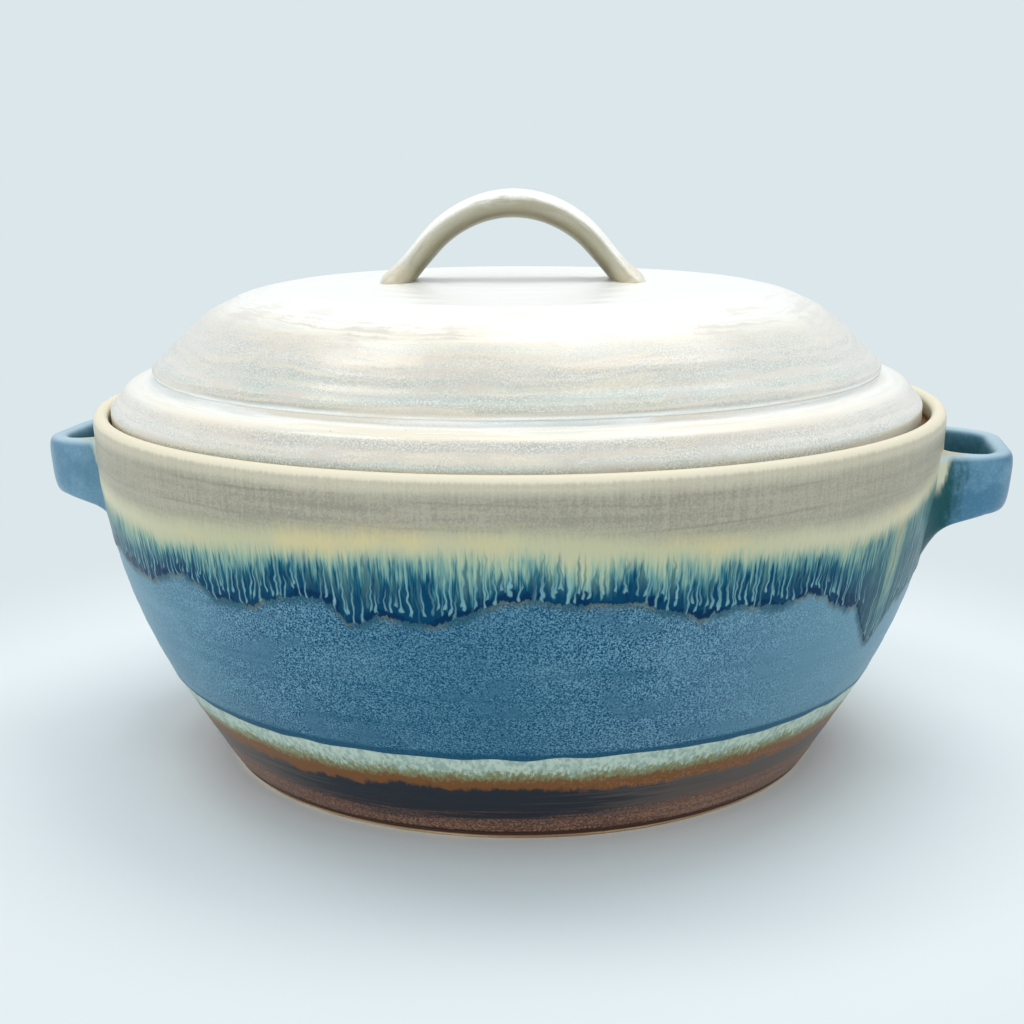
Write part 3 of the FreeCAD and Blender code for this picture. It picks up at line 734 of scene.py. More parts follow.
@dataclass
class Lid:
    """The thrown lid: its clay and its two coats of glaze.

    Lengths are in millimetres, and depth is measured inward from the outside of the glaze.

    Attributes:
        seat: Height of the lid's underside above the floor.
        height: Height of the crown above the seat.
        crown_fall: How far the crown's bow falls on its way to the shoulder.
        shoulder_bow: Radius of the shoulder's bow, which ends at shoulder_slope.
        step_in: How far the neck under the dome's edge goes in, and step_down, how far down.
        groove_way: Distance from the crown along the lid to the groove on the shoulder.
        sunk: How far a coat's back lies in the clay.
        columns: Columns round the outer coat, and round the clay and the liner.
    """

    edge_radius: float
    seat: float
    height: float
    centre: tuple[float, float]
    wall: float = 6.0
    glaze: float = 0.6
    crown_fall: float = 1.45
    shoulder_bow: float = 56.0
    shoulder_slope: float = math.radians(45.0)
    shoulder_width: float = 48.9
    dome_edge_round: float = 1.6
    step_in: float = 2.6
    step_down: float = 1.9
    flange_width: float = 7.6
    flange_drop: float = 2.6
    brim_width: float = 5.8
    brim_height: float = 10.2
    flange_round: float = 5.0
    brim_round: float = 2.5
    neck_round: float = 0.8
    bare_seat: float = 3.0
    seat_round: float = 1.2
    groove_way: float = 88.0
    groove_width: float = 0.9
    groove_depth: float = 0.10
    sunk: float = 0.3
    columns: tuple[int, int] = (720, 480)

    @property
    def crown(self) -> float:
        """Height of the crown."""
        return self.seat + self.height

    def bows(self) -> tuple[float, float, Array, Array]:
        """Radius and end slope of the crown's bow, and the centres of the crown's and shoulder's bows."""
        end = self.edge_radius - self.brim_width - self.flange_width - self.shoulder_width
        bow = (end ** 2 + self.crown_fall ** 2) / (2 * self.crown_fall)
        tilt = math.asin(end / bow)
        centre = np.array([0.0, self.crown - bow])
        normal = np.array([math.sin(tilt), math.cos(tilt)])
        return bow, tilt, centre, centre + normal * (bow - self.shoulder_bow)

    def dome(self, depth: float, step: float) -> Array:
        """Points from the crown down the shoulder, where two bows meet tangent.

        Args:
            depth: Depth under the outside of the glaze.
            step: Distance between points.

        Returns:
            Points, one row each.
        """
        bow, tilt, crown_centre, shoulder_centre = self.bows()
        rows = [round(bow * tilt / step), round(self.shoulder_bow * (self.shoulder_slope - tilt) / step)]
        flat = np.linspace(0, tilt, rows[0])[:, None]
        steep = np.linspace(tilt, self.shoulder_slope, rows[1])[1:, None]
        crown = crown_centre + np.hstack([np.sin(flat), np.cos(flat)]) * (bow - depth)
        shoulder = shoulder_centre + np.hstack([np.sin(steep), np.cos(steep)]) * (self.shoulder_bow - depth)
        return np.concatenate([crown, shoulder])

    def corners(self) -> Array:
        """Dome edge, neck, flange bend and brim of the glazed outside."""
        end = self.dome(0.0, 1.0)[-1]
        bend = self.edge_radius - self.brim_width
        edge_radius = bend - self.flange_width
        edge = (edge_radius, end[1] - (edge_radius - end[0]) * math.tan(self.shoulder_slope))
        neck = (edge[0] - self.step_in, edge[1] - self.step_down)
        return np.array([edge, neck, (bend, neck[1] - self.flange_drop),
                         (self.edge_radius, self.seat + self.brim_height)])

    def outside(self, depth: float, low: float, step: float) -> Array:
        """Points of the outside, depth under the glaze, from the crown down to a height.

        Args:
            depth: Depth under the outside of the glaze.
            low: Height at which it ends.
            step: Distance between points on the dome.

        Returns:
            Points, one row each.
        """
        dome = self.dome(depth, step)
        line = np.vstack([self.dome(0.0, step)[-1:], self.corners(), [[self.edge_radius, low]]])
        rounds = (self.dome_edge_round, self.neck_round, self.flange_round, self.brim_round)
        skirt = bent([(*dome[-1], 0), *[(*corner, bend) for corner, bend in zip(inset(line, depth), rounds)],
                      (self.edge_radius - depth, low, 0)], 0.8)
        return np.concatenate([dome, skirt[1:]])

    def inside(self, depth: float, step: float) -> Array:
        """Points of the hollow underside from the seat's inner edge up to the crown.

        Args:
            depth: Depth under the surface of the glaze inside.
            step: Distance between points on the dome.

        Returns:
            Points, one row each.
        """
        under = self.wall - depth
        dome = self.dome(under, step)[::-1]
        inner = self.edge_radius - under
        roof = self.corners()[2][1] - under
        end = dome[0]
        corner = end[0] + (end[1] - roof) / math.tan(self.shoulder_slope)
        skirt = bent([(inner, self.seat + self.bare_seat, 0), (inner, roof, self.brim_round),
                      (corner, roof, self.flange_round), (*end, 0)], 1.5)
        return np.concatenate([skirt, dome[1:]])

    def throwing(self, outline: Array, angle: Array) -> Array:
        """Depth of the throwing rings: waves along the outline that wander round it, fading at the crown.

        Args:
            outline: Points from the crown down.
            angle: Angles of the columns.

        Returns:
            Depth of each point under the smooth surface.
        """
        length = lengths(outline)[:, None]
        wander = 1.1 * ripple(angle, (1, 3), 3, 51)[None]
        rings = np.sin((length + wander) * TURN / 12.5) + 0.5 * np.sin((length - wander) * TURN / 5.3)
        uneven = ripple(angle, (2, 6), 4, 52)[None] * np.sin(length * TURN / 60)
        groove = np.exp(-((length - self.groove_way - 0.5 * wander) / self.groove_width) ** 2)
        waves = smooth(8, 30, length) * (0.085 * rings + 0.06 * uneven)
        return 0.22 + waves + self.groove_depth * groove

    def coat(self) -> bpy.types.Object:
        """Glaze on the lid's outside, down to the bare clay above its seat."""
        angle = around(self.columns[0])
        low = self.seat + self.bare_seat
        shown = self.outside(0.0, low, 1.15)
        radius, height = eased(shown, self.throwing(shown, angle))
        hidden = self.outside(self.glaze + self.sunk, low, 6.0)[::-1]
        return self.closed("lid_coat", shown, radius, height, hidden, angle)

    def closed(self, name: str, shown: Array, radius: Array, height: Array, hidden: Array,
               angle: Array) -> bpy.types.Object:
        """Close a piece that runs from the axis to its rim and back.

        Args:
            name: Name of the piece.
            shown: Outline of its showing side, before any relief.
            radius: Radii of that side's points.
            height: Their heights.
            hidden: Outline of its back.
            angle: Angles of the columns.

        Returns:
            The new piece.
        """
        front = turned(radius, height, angle, self.centre)
        back = turned(hidden[:, :1], hidden[:, 1:], angle, self.centre)
        outline = np.concatenate([shown, hidden])
        spots = two_discs(outline, len(shown) - 1, len(angle))
        way = lengths(outline)[:, None]
        flow = np.stack(np.broadcast_arrays(way, np.zeros((1, len(angle))), 0.0), axis=-1)
        return Skin(np.concatenate([front, back]), Ends.POLES, spots, flow).mesh(name)

    def liner(self) -> bpy.types.Object:
        """Glaze on the lid's hollow underside."""
        angle = around(self.columns[1])
        shown = self.inside(0.0, 2.5)[::-1]
        ring = 0.12 + 0.06 * np.sin(shown[:, :1] * TURN / 14 + 0.5 * ripple(angle, (1, 4), 4, 53)[None])
        radius, height = eased(shown, -ring)
        hidden = self.inside(self.glaze + self.sunk, 6.0)
        return self.closed("lid_liner_coat", shown, radius, height, hidden, angle)

    def clay(self) -> bpy.types.Object:
        """The lid itself, bare at its seat."""
        angle = around(self.columns[1])
        top = self.seat + self.bare_seat
        outer, inner = self.edge_radius - self.glaze, self.edge_radius - self.wall + self.glaze
        seat = bent([(outer, top, 0), (outer, self.seat, self.seat_round),
                     (inner, self.seat, self.seat_round), (inner, top, 0)], 0.8)
        shown = np.concatenate([self.outside(self.glaze, top, 3.0), seat[1:]])
        hidden = self.inside(self.glaze, 3.0)[1:]
        return self.closed("lid_clay", shown, shown[:, :1], shown[:, 1:], hidden, angle)


# Handles

@dataclass
class Strap:
    """A pulled strap of clay: a rounded section carried along a path.

    Attributes:
        path: Middle line, points by 3.
        side: Unit direction of the section's first axis at each point.
        rise: Unit direction of its second axis.
        out, back: Half sizes along the first axis and against it, one a point.
        up, down: Half sizes along the second axis and against it.
        square: Power of the section: 2 is an ellipse, and more is squarer.
        columns: Points round a section.
    """

    path: Array
    side: Array
    rise: Array
    out: Array
    back: Array
    up: Array
    down: Array
    square: float = 3.6
    columns: int = 72

    def surface(self) -> Array:
        """Points of the strap: each section is |a / half| ^ square + |b / half| ^ square = 1."""
        turn = around(self.columns)
        across = np.sign(np.cos(turn)) * np.abs(np.cos(turn)) ** (2 / self.square)
        along = np.sign(np.sin(turn)) * np.abs(np.sin(turn)) ** (2 / self.square)
        a = across * np.where(across > 0, self.out[:, None], self.back[:, None])
        b = along * np.where(along > 0, self.up[:, None], self.down[:, None])
        return self.path[:, None] + a[..., None] * self.side[:, None] + b[..., None] * self.rise[:, None]

    def piece(self, name: str, place: Array, root: Array) -> bpy.types.Object:
        """Close the strap's surface at both ends.

        Args:
            name: Name of the piece.
            place: The surface's points.
            root: Distance of each point of the path from the face that the strap stands on.

        Returns:
            The new piece.
        """
        ends = [np.broadcast_to(row.mean(axis=0), row.shape)[None] for row in (place[0], place[-1])]
        closed = np.concatenate([ends[0], place, ends[1]])
        flow = np.zeros_like(closed)
        flow[..., 0] = np.concatenate([root[:1], root, root[-1:]])[:, None]
        flow[..., 1] = np.cos(around(self.columns))
        share = np.linspace(0, 1, len(closed))
        return Skin(closed, Ends.POLES, strip_spots(share, self.columns, 1), flow).mesh(name)


@dataclass
class SideHandles:
    """The two strap handles on the pot's sides, each bent to a square U.

    Attributes:
        spacing: Distance between the middles of the two legs.
        top_climb: How much taller the strap grows upward on its way to the wall.
        under_fall: How much it grows downward.
        lean: Slope by which the strap leans outward at its top.
        root_spread: How far it swells at the wall: outward, inward, up and down.
        root_reach: Distance from the wall over which that dies away.
        root_depth: Share of the wall's thickness at which its ends lie in it.
    """

    pot: Pot
    reach: float
    thickness: float = 8.4
    spacing: float = 55.0
    corner: float = 16.5
    below_rim: float = 14.2
    height: float = 21.0
    top_climb: float = 1.0
    under_fall: float = 3.4
    lean: float = 0.1
    root_spread: tuple[float, float, float, float] = (3.2, 2.2, 0.8, 6.0)
    root_reach: float = 3.4
    root_depth: float = 0.6

    def outline(self) -> Array:
        """Middle line of the strap seen from above, from inside the wall round to inside the wall."""
        half, far = self.spacing / 2, self.reach - self.thickness / 2
        near = math.sqrt(self.pot.rim_radius ** 2 - half ** 2) - 1.2 * self.pot.wall
        return bent([(near, half, 0), (far, half, self.corner), (far, -half, self.corner),
                     (near, -half, 0)], 0.9)

    def rooted(self, place: Array, reach: Array) -> Array:
        """End the strap's legs on a face that follows the wall, within its clay.

        Inside the rim's reach, x runs evenly from that face, sqrt((wall - depth)^2 - y^2), to the rim.

        Args:
            place: Points of the strap, rows by columns by 3.
            reach: How far out each row's middle is.

        Returns:
            The moved points.
        """
        knee = math.sqrt(self.pot.rim_radius ** 2 - (self.spacing / 2) ** 2)
        share = np.clip((reach - reach[0]) / (knee - reach[0]), 0, 1)[:, None]
        depth = self.root_depth * self.pot.wall
        face = np.sqrt((self.pot.wall_radius(place[..., 2]) - depth) ** 2 - place[..., 1] ** 2)
        full = place[..., 0] + (knee - reach)[:, None]
        moved = place.copy()
        moved[..., 0] = np.where(share < 1, face + share * (full - face), place[..., 0])
        return moved

    def piece(self, name: str, turned_round: bool, seed: int) -> bpy.types.Object:
        """One handle, widened where it was worked into the wall and a little uneven.

        Args:
            name: Name of the piece.
            turned_round: Whether it is the one towards -X.
            seed: Seed of its unevenness.

        Returns:
            The new piece.
        """
        flat = self.outline()
        along = travel(flat)
        middle = self.pot.rim_height - self.below_rim - self.height / 2
        wall = self.pot.radius_at(middle)
        out_of_wall = np.hypot(*flat.T) - wall
        root_share = np.clip(1 - out_of_wall / (self.reach - self.thickness - wall), 0, 1)
        swell = np.exp(-np.maximum(out_of_wall + 1.0, -3.0) / self.root_reach)
        out, back, up, down = self.root_spread
        half_thick, half_high = self.thickness / 2 - 0.15, self.height / 2 - 0.2
        uneven = ripple(np.linspace(0, math.pi, len(flat)), (1, 5), 4, seed)
        zero = np.zeros(len(flat))
        strap = Strap(
            path=np.stack([*flat.T, np.full(len(flat), middle)], axis=-1),
            side=np.stack([-along[:, 1], along[:, 0], zero], axis=-1),
            rise=np.stack([zero + self.lean, zero, zero + 1], axis=-1),
            out=half_thick + out * swell + 0.12 * uneven,
            back=half_thick + back * swell,
            up=half_high + self.top_climb * root_share + up * swell + 0.2 * uneven,
            down=half_high + self.under_fall * root_share + down * swell)
        place = self.rooted(strap.surface(), flat[:, 0])
        if turned_round:
            place = place * np.array([-1, -1, 1])
        return strap.piece(name, place, out_of_wall)


@dataclass
class LidHandle:
    """The arched strap on the lid.

    Attributes:
        top: Height of the arch's top above the floor.
        bow: Radius of the middle line's bow between the two legs.
        leg: Slope of the legs.
        offset: How far its middle lies from the lid's axis, and turn, how far it is turned round it.
        buried: How far under the crown its ends lie.
        leg_thins: How much thinner its legs are than its top: above and below the middle line.
        leg_widens: How much wider they are, to each side.
        foot_spread: How far its feet are smeared out: over their tops, and to each side.
        foot_reach: Height over the crown at which that dies away.
    """

    lid: Lid
    top: float
    thickness: float = 10.2
    width: float = 22.0
    bow: float = 38.0
    leg: float = math.radians(50.0)
    offset: float = -1.0
    turn: float = math.radians(7.3)
    buried: float = 5.0
    leg_thins: tuple[float, float] = (0.5, 0.7)
    leg_widens: float = 0.6
    foot_spread: tuple[float, float] = (0.9, 2.6)
    foot_reach: float = 2.6

    def piece(self) -> bpy.types.Object:
        """The handle: two straight legs joined by a bow, thinner and smeared out at its feet."""
        tip = self.top - self.thickness / 2 + self.bow * (1 / math.cos(self.leg) - 1)
        foot = self.lid.crown - self.buried
        reach = (tip - foot) / math.tan(self.leg)
        line = bent([(-reach, foot, 0), (0, tip, self.bow), (reach, foot, 0)], 0.9)
        along = travel(line)
        above = line[:, 1] - self.lid.crown
        smear = np.exp(-np.maximum(above - 0.5, -2.0) / self.foot_reach)
        leg = smooth(26, 4, above)
        uneven = ripple(np.linspace(0, math.pi, len(line)), (1, 5), 4, 71)
        zero = np.zeros(len(line))
        thin, wide = self.thickness / 2, self.width / 2 - 0.1 + self.leg_widens * leg
        wide = wide + self.foot_spread[1] * smear
        strap = Strap(
            path=np.stack([line[:, 0] + self.offset, zero, line[:, 1]], axis=-1),
            side=np.stack([-along[:, 1], zero, along[:, 0]], axis=-1),
            rise=np.stack([zero, zero + 1, zero], axis=-1),
            out=thin - 0.35 - self.leg_thins[0] * leg + self.foot_spread[0] * smear + 0.1 * uneven,
            back=thin - 0.1 - self.leg_thins[1] * leg,
            up=wide + 0.2 * uneven,
            down=wide - 0.15 * uneven,
            square=3.0)
        place = strap.surface()
        share = np.clip(above / self.buried + 1, 0, 1)[:, None]
        full = place[..., 2] - above[:, None]
        face = self.lid.crown - 0.8 * self.buried
        place[..., 2] = np.where(share < 1, face + share * (full - face), place[..., 2])
        spin = np.array([[math.cos(self.turn), math.sin(self.turn), 0],
                         [-math.sin(self.turn), math.cos(self.turn), 0], [0, 0, 1]])
        place = place @ spin + np.array([*self.lid.centre, 0])
        return strap.piece("lid_arch", place, above)


# Shaders

Number = Union["Value", float]
Paint = Union["Value", Colour]
Sizes = tuple[float, float, float]


def operator(name: str, mirrored: bool = False) -> Callable[["Value", Number], "Value"]:
    """Make one of the operators of a shader value.

    Args:
        name: Operation of the Math node that it adds.
        mirrored: Whether the plain number stands on its left.

    Returns:
        The operator's method.
    """
    def apply(value: "Value", other: Number) -> "Value":
        """Add the Math node for two values."""
        pair = (other, value) if mirrored else (value, other)
        return value.shader.math(name, *pair)
    return apply


class Value:
    """A shader output that takes part in plain arithmetic: each operator adds its node."""

    __add__, __radd__ = operator("ADD"), operator("ADD", True)
    __sub__, __rsub__ = operator("SUBTRACT"), operator("SUBTRACT", True)
    __mul__, __rmul__ = operator("MULTIPLY"), operator("MULTIPLY", True)
    __truediv__, __rtruediv__ = operator("DIVIDE"), operator("DIVIDE", True)

    def __init__(self, shader: "Shader", socket: bpy.types.NodeSocket) -> None:
        """Wrap one output of a shader's node."""
        self.shader, self.socket = shader, socket

    def __abs__(self) -> "Value":
        """Its size without its sign."""
        return self.shader.math("ABSOLUTE", self)

    def step(self, low: Number, high: Number) -> "Value":
        """Smooth step: 0 at low, 1 at high, which may be the lesser."""
        return self.shader.node("ShaderNodeMapRange", {"interpolation_type": "SMOOTHSTEP"},
                                {"Value": self, "From Min": low, "From Max": high})

    def part(self, name: str) -> "Value":
        """The X, Y or Z part of a vector."""
        return self.shader.node("ShaderNodeSeparateXYZ", {}, {0: self}, name)


class Kind(Enum):
    """What a shader colours, by the type of its output node."""

    SURFACE = "ShaderNodeOutputMaterial"
    SKY = "ShaderNodeOutputWorld"


class Shader:
    """A material, or the world's light, under construction."""

    coat_roughness: float = 0.16

    def __init__(self, name: str, kind: Kind = Kind.SURFACE) -> None:
        """Start with no nodes.

        Args:
            name: Name of the material or world.
            kind: Which of the two it is.
        """
        owners = bpy.data.materials if kind is Kind.SURFACE else bpy.data.worlds
        self.kind, self.owner = kind, owners.new(name)
        self.owner.use_nodes = True
        self.tree = self.owner.node_tree
        self.tree.nodes.clear()

    def node(self, kind: str, settings: dict, inputs: dict, output: Union[int, str] = 0) -> Value:
        """Add a node.

        Args:
            kind: The node's type.
            settings: Its own settings; stops are those of a colour ramp.
            inputs: Values or links of its sockets, by name or number.
            output: The output that is used.

        Returns:
            That output.
        """
        made = self.tree.nodes.new(kind)
        for key, setting in settings.items():
            if key == "stops":
                self.set_stops(made.color_ramp, setting)
            else:
                setattr(made, key, setting)
        for key, given in inputs.items():
            if isinstance(given, Value):
                self.tree.links.new(given.socket, made.inputs[key])
            else:
                made.inputs[key].default_value = given
        return Value(self, made.outputs[output])

    @staticmethod
    def set_stops(ramp: bpy.types.ColorRamp, stops: list[tuple[float, Colour]]) -> None:
        """Give a colour ramp its stops.

        Args:
            ramp: The ramp.
            stops: Place and colour of each stop.
        """
        while len(ramp.elements) < len(stops):
            ramp.elements.new(1.0)
        for element, (place, colour) in zip(ramp.elements, stops):
            element.position = place
            element.color = colour

    def math(self, operation: str, *values: Number) -> Value:
        """One Math node."""
        return self.node("ShaderNodeMath", {"operation": operation}, dict(enumerate(values)))

    def vector(self, operation: str, *values: Union[Value, Sizes], **named: float) -> Value:
        """One Vector Math node."""
        inputs = dict(enumerate(values)) | named
        return self.node("ShaderNodeVectorMath", {"operation": operation}, inputs)

    def place(self) -> Value:
        """Place on the object, in millimetres."""
        here = self.node("ShaderNodeTexCoord", {}, {}, "Object")
        return self.vector("SCALE", here, Scale=1 / MM)

    def flow(self) -> Value:
        """Coordinates that run with the glaze, in millimetres."""
        return self.node("ShaderNodeAttribute", {"attribute_name": "flow"}, {}, "Vector")

    def moved(self, vector: Value, by: Union[Value, Sizes]) -> Value:
        """A vector with another added."""
        return self.vector("ADD", vector, by)

    def drum(self, place: Value, radius: float, height: Value) -> Value:
        """A place moved level on to a drum round the axis, and to another height.

        Args:
            place: The place.
            radius: Radius of the drum.
            height: The other height.

        Returns:
            The moved place.
        """
        level = self.vector("MULTIPLY", place, (1, 1, 0))
        ring = self.vector("SCALE", self.vector("NORMALIZE", level), Scale=radius)
        return self.moved(ring, self.node("ShaderNodeCombineXYZ", {}, {2: height}))

    def noise(self, vector: Value, size: Union[float, Sizes], detail: float = 2.0,
              roughness: float = 0.5) -> Value:
        """Noise with lumps of a size, or of a size along each axis, in the vector's own unit.

        Args:
            vector: Where it is read.
            size: Size of its lumps, or their size along each axis.
            detail: How many finer layers it has.
            roughness: How strong these are.

        Returns:
            The noise, 0.5 on the average.
        """
        scale = 1.0
        if isinstance(size, tuple):
            vector = self.vector("MULTIPLY", vector, tuple(1 / length for length in size))
        else:
            scale = 1 / size
        inputs = {"Vector": vector, "Scale": scale, "Detail": detail, "Roughness": roughness}
        return self.node("ShaderNodeTexNoise", {}, inputs)

    def lines(self, turn: Value, girth: float, count: int,
              seed: float) -> tuple[Value, Value, Value, Value]:
        """Divide the way round the pot in equal columns, each with an upright line somewhere in it.

        Args:
            turn: Place round the pot, 0 to 1.
            girth: Length of the way round.
            count: How many columns there are.
            seed: Picks the draw.

        Returns:
            Distance from the column's line, and three random shares that are the column's own.
        """
        spot = turn * count
        column = self.math("FLOOR", spot)
        draw = self.node("ShaderNodeTexWhiteNoise", {"noise_dimensions": "1D"}, {"W": column + seed}, "Color")
        first, second, third = (draw.part(axis) for axis in "XYZ")
        away = abs(spot - column - 0.25 - first * 0.5) * (girth / count)
        return away, first, second, third

    def mix(self, share: Number, first: Paint, second: Paint) -> Value:
        """The first colour with a share of the second mixed in."""
        return self.node("ShaderNodeMix", {"data_type": "RGBA"}, {0: share, 6: first, 7: second}, 2)

    def layered(self, colour: Paint, *layers: tuple[Number, Paint]) -> Value:
        """A colour with others laid over it in turn, each by its own share."""
        for share, over in layers:
            colour = self.mix(share, colour, over)
        return colour

    def ramp(self, share: Value, stops: list[tuple[float, Colour]]) -> Value:
        """A colour read off a ramp."""
        return self.node("ShaderNodeValToRGB", {"stops": stops}, {0: share})

    def bump(self, height: Value, distance: float) -> Value:
        """Normal of a surface raised by a height of up to a distance, in millimetres."""
        return self.node("ShaderNodeBump", {}, {"Height": height, "Distance": distance * MM})

    def finish(self, colour: Value, roughness: Number, normal: Value, coat: float = 0.0,
               specular: float = 0.5) -> bpy.types.Material:
        """Close the material with its surface.

        Args:
            colour: Base colour.
            roughness: Roughness of the surface.
            normal: Its normal, from its bumps.
            coat: Weight of the clear layer over it.
            specular: Strength of its gloss.

        Returns:
            The finished material.
        """
        inputs = {"Base Color": colour, "Roughness": roughness, "Coat Weight": coat, "Normal": normal,
                  "Coat Roughness": self.coat_roughness, "Specular IOR Level": specular}
        return self.close(self.node("ShaderNodeBsdfPrincipled", {}, inputs))

    def close(self, surface: Value) -> Union[bpy.types.Material, bpy.types.World]:
        """Link a surface to the output, and hand over what was made."""
        output = self.tree.nodes.new(self.kind.value)
        self.tree.links.new(surface.socket, output.inputs["Surface"])
        return self.owner


# Finishes

@dataclass(frozen=True)
class WallGlaze:
    """Cream glaze over blue: it breaks to green, teal and navy where it ran down over the blue.

    One finish serves both coats, so that its runs cross the edge between them. It reads the height
    above the cream glaze's edge, how far up from there it breaks, and how darkly.

    Attributes:
        girth: Length round the pot that its runs are laid out on.
        spikes: Count, seed, width and reach of each set of dark spikes.
        threads: Count and seed of each set of pale threads.
        hairlines: Height and seed of each thin line in the cream.
    """

    name: str
    rim_height: float
    foot_band: float
    girth: float = 942.0
    spikes: tuple[tuple[int, float, float, float], ...] = ((210, 3.37, 1.9, 1.05), (360, 8.11, 1.1, 0.85))
    spike_strength: float = 0.8
    threads: tuple[tuple[int, float], ...] = ((286, 5.23), (405, 1.71))
    thread_strength: float = 0.7
    hairlines: tuple[tuple[float, float], ...] = ((117.2, 0.0), (109.6, 30.0))
    hairline_strength: float = 0.28
    speckle_size: float = 0.55
    speckle_contrast: float = 5.2
    ink: Colour = paint(0, 44, 80)
    navy: Colour = paint(0, 62, 94)
    teal: Colour = paint(30, 96, 116)
    mint: Colour = paint(112, 154, 148)
    pale: Colour = paint(160, 182, 156)
    butter: Colour = paint(188, 188, 156)
    amber: Colour = paint(208, 194, 146)
    thread: Colour = paint(126, 176, 182)
    # Grey teal: the upper colour of the dark spikes, and painted sheen that greys the sides.
    smoke_and_sheen: Colour = paint(74, 112, 114)
    stone: Colour = paint(172, 168, 150)
    shade: Colour = paint(148, 146, 132)
    line: Colour = paint(122, 114, 98)
    # Pale lip colour: painted highlight on the lip's top and painted sheen at the sides, and a lighter band
    # under the rim.
    lip: Colour = paint(232, 224, 200)
    dark: Colour = paint(4, 64, 96)
    light: Colour = paint(116, 164, 188)
    calm: Colour = paint(24, 84, 112)
    # Pale veil: painted sheen towards the sides, and random patches.
    veil_and_sheen: Colour = paint(118, 160, 178)
    halo: Colour = paint(40, 84, 100)
    olive: Colour = paint(92, 100, 84)
    deep_line: Colour = paint(24, 76, 104)

    def belly(self, shader: Shader, place: Value, height: Value, below: Value) -> Value:
        """Colour of the blue glaze: speckled, calm in places, and duller under the cream's edge; painted
        sheen makes it paler and greyer towards the left and right sides, and darker in the front middle.

        Args:
            shader: The material under construction.
            place: Place on the pot.
            height: Height on the pot.
            below: Distance under the cream's edge.

        Returns:
            The colour.
        """
        grain = shader.noise(place, self.speckle_size, 2.0, 0.75)
        calm = shader.noise(place, (26.0, 26.0, 15.0), 3.0, 0.6)
        rings = shader.noise(place, (70.0, 70.0, 2.6), 3.0, 0.6)
        dusk = shader.noise(place, 11.0)
        aside = abs(place.part("X"))
        strength = 1.0 - calm.step(0.50, 0.66) * 0.8
        speckle = (grain - 0.5) * strength * self.speckle_contrast + 0.37
        foot = height - self.foot_band + (rings - 0.5) * 1.6
        edge = shader.mix(dusk.step(0.46, 0.62), self.halo, self.olive)
        return shader.layered(
            shader.mix(speckle, self.dark, self.light),
            (rings.step(0.52, 0.70) * 0.35, self.calm),
            # Paler and greyer towards the left and right sides, and darker in the middle: painted sheen; the
            # veil also comes in random patches.
            (aside.step(45.0, 135.0) * 0.75 + calm.step(0.5, 0.3) * 0.15, self.veil_and_sheen),
            (aside.step(60.0, 5.0) * 0.35, self.calm),
            (foot.step(2.6, 1.2) * 0.8, self.deep_line),
            ((below + (dusk - 0.5) * 5.0).step(3.4, 0.2) * 0.8, edge))

    def breaking(self, shader: Shader, ring: Value, turn: Value, above: Value, tall: Value,
                 dark: Value) -> Value:
        """Colour where the cream breaks: pale to teal downward, with dark spikes, threads and a pool, and
        greyer towards the sides as painted sheen.

        Args:
            shader: The material under construction.
            ring: Place on a drum of the pot's girth.
            turn: Place round the pot, 0 to 1.
            above: Height above the cream's edge.
            tall: Height above that edge at which the break ends.
            dark: How dark it breaks.

        Returns:
            The colour.
        """
        share = above / tall
        patch = shader.noise(ring, (9.0, 9.0, 12.0))
        fine = shader.noise(ring, (0.9, 0.9, 11.0), 2.0, 0.6)
        tone = share * 0.95 - 0.08 - dark + (patch - 0.5) * 0.6 + (fine - 0.5) * 1.3
        colour = shader.ramp(tone, [(0.0, self.navy), (0.06, self.navy), (0.24, self.teal),
                                    (0.46, self.mint), (0.74, self.pale), (1.0, self.butter)])
        soot = shader.mix(share.step(0.1, 0.8), self.navy, self.smoke_and_sheen)
        for count, seed, width, reach in self.spikes:
            away, _, tallness, broadness = shader.lines(turn, self.girth, count, seed)
            top = tall * reach * (0.35 + tallness * 0.85)
            half = (1.0 - above / top) * (broadness * broadness * 0.8 + 0.25) * width
            spike = away.step(half + 0.35, half - 0.25)
            colour = shader.mix(spike * self.spike_strength, colour, soot)
        pooled = shader.noise(ring, (13.0, 13.0, 9.0))
        depth = 0.4 + pooled.step(0.38, 0.68) * 4.4 + (fine - 0.5) * 3.4
        pool = above.step(depth + 0.7, depth - 0.6)
        # Greyer towards the left and right sides: painted sheen.
        aside = abs(ring.part("X")) / (self.girth / TURN)
        colour = shader.layered(colour, (pool * 0.94, self.ink), (aside.step(0.74, 0.92) * 0.45, self.smoke_and_sheen))
        for count, seed in self.threads:
            away, chance, low, rise = shader.lines(turn, self.girth, count, seed)
            foot = low * 6.0 - 1.4
            wide = 0.12 + above.step(foot + 2.2, foot + 0.5) * 0.22
            drop = away.step(wide + 0.34, wide - 0.12)
            seen = above.step(foot - 0.2, foot + 0.3) * share.step(rise * 0.7 + 0.4, rise * 0.4 + 0.1)
            colour = shader.mix(drop * seen * chance.step(0.95, 0.35) * self.thread_strength, colour,
                                self.thread)
        return colour

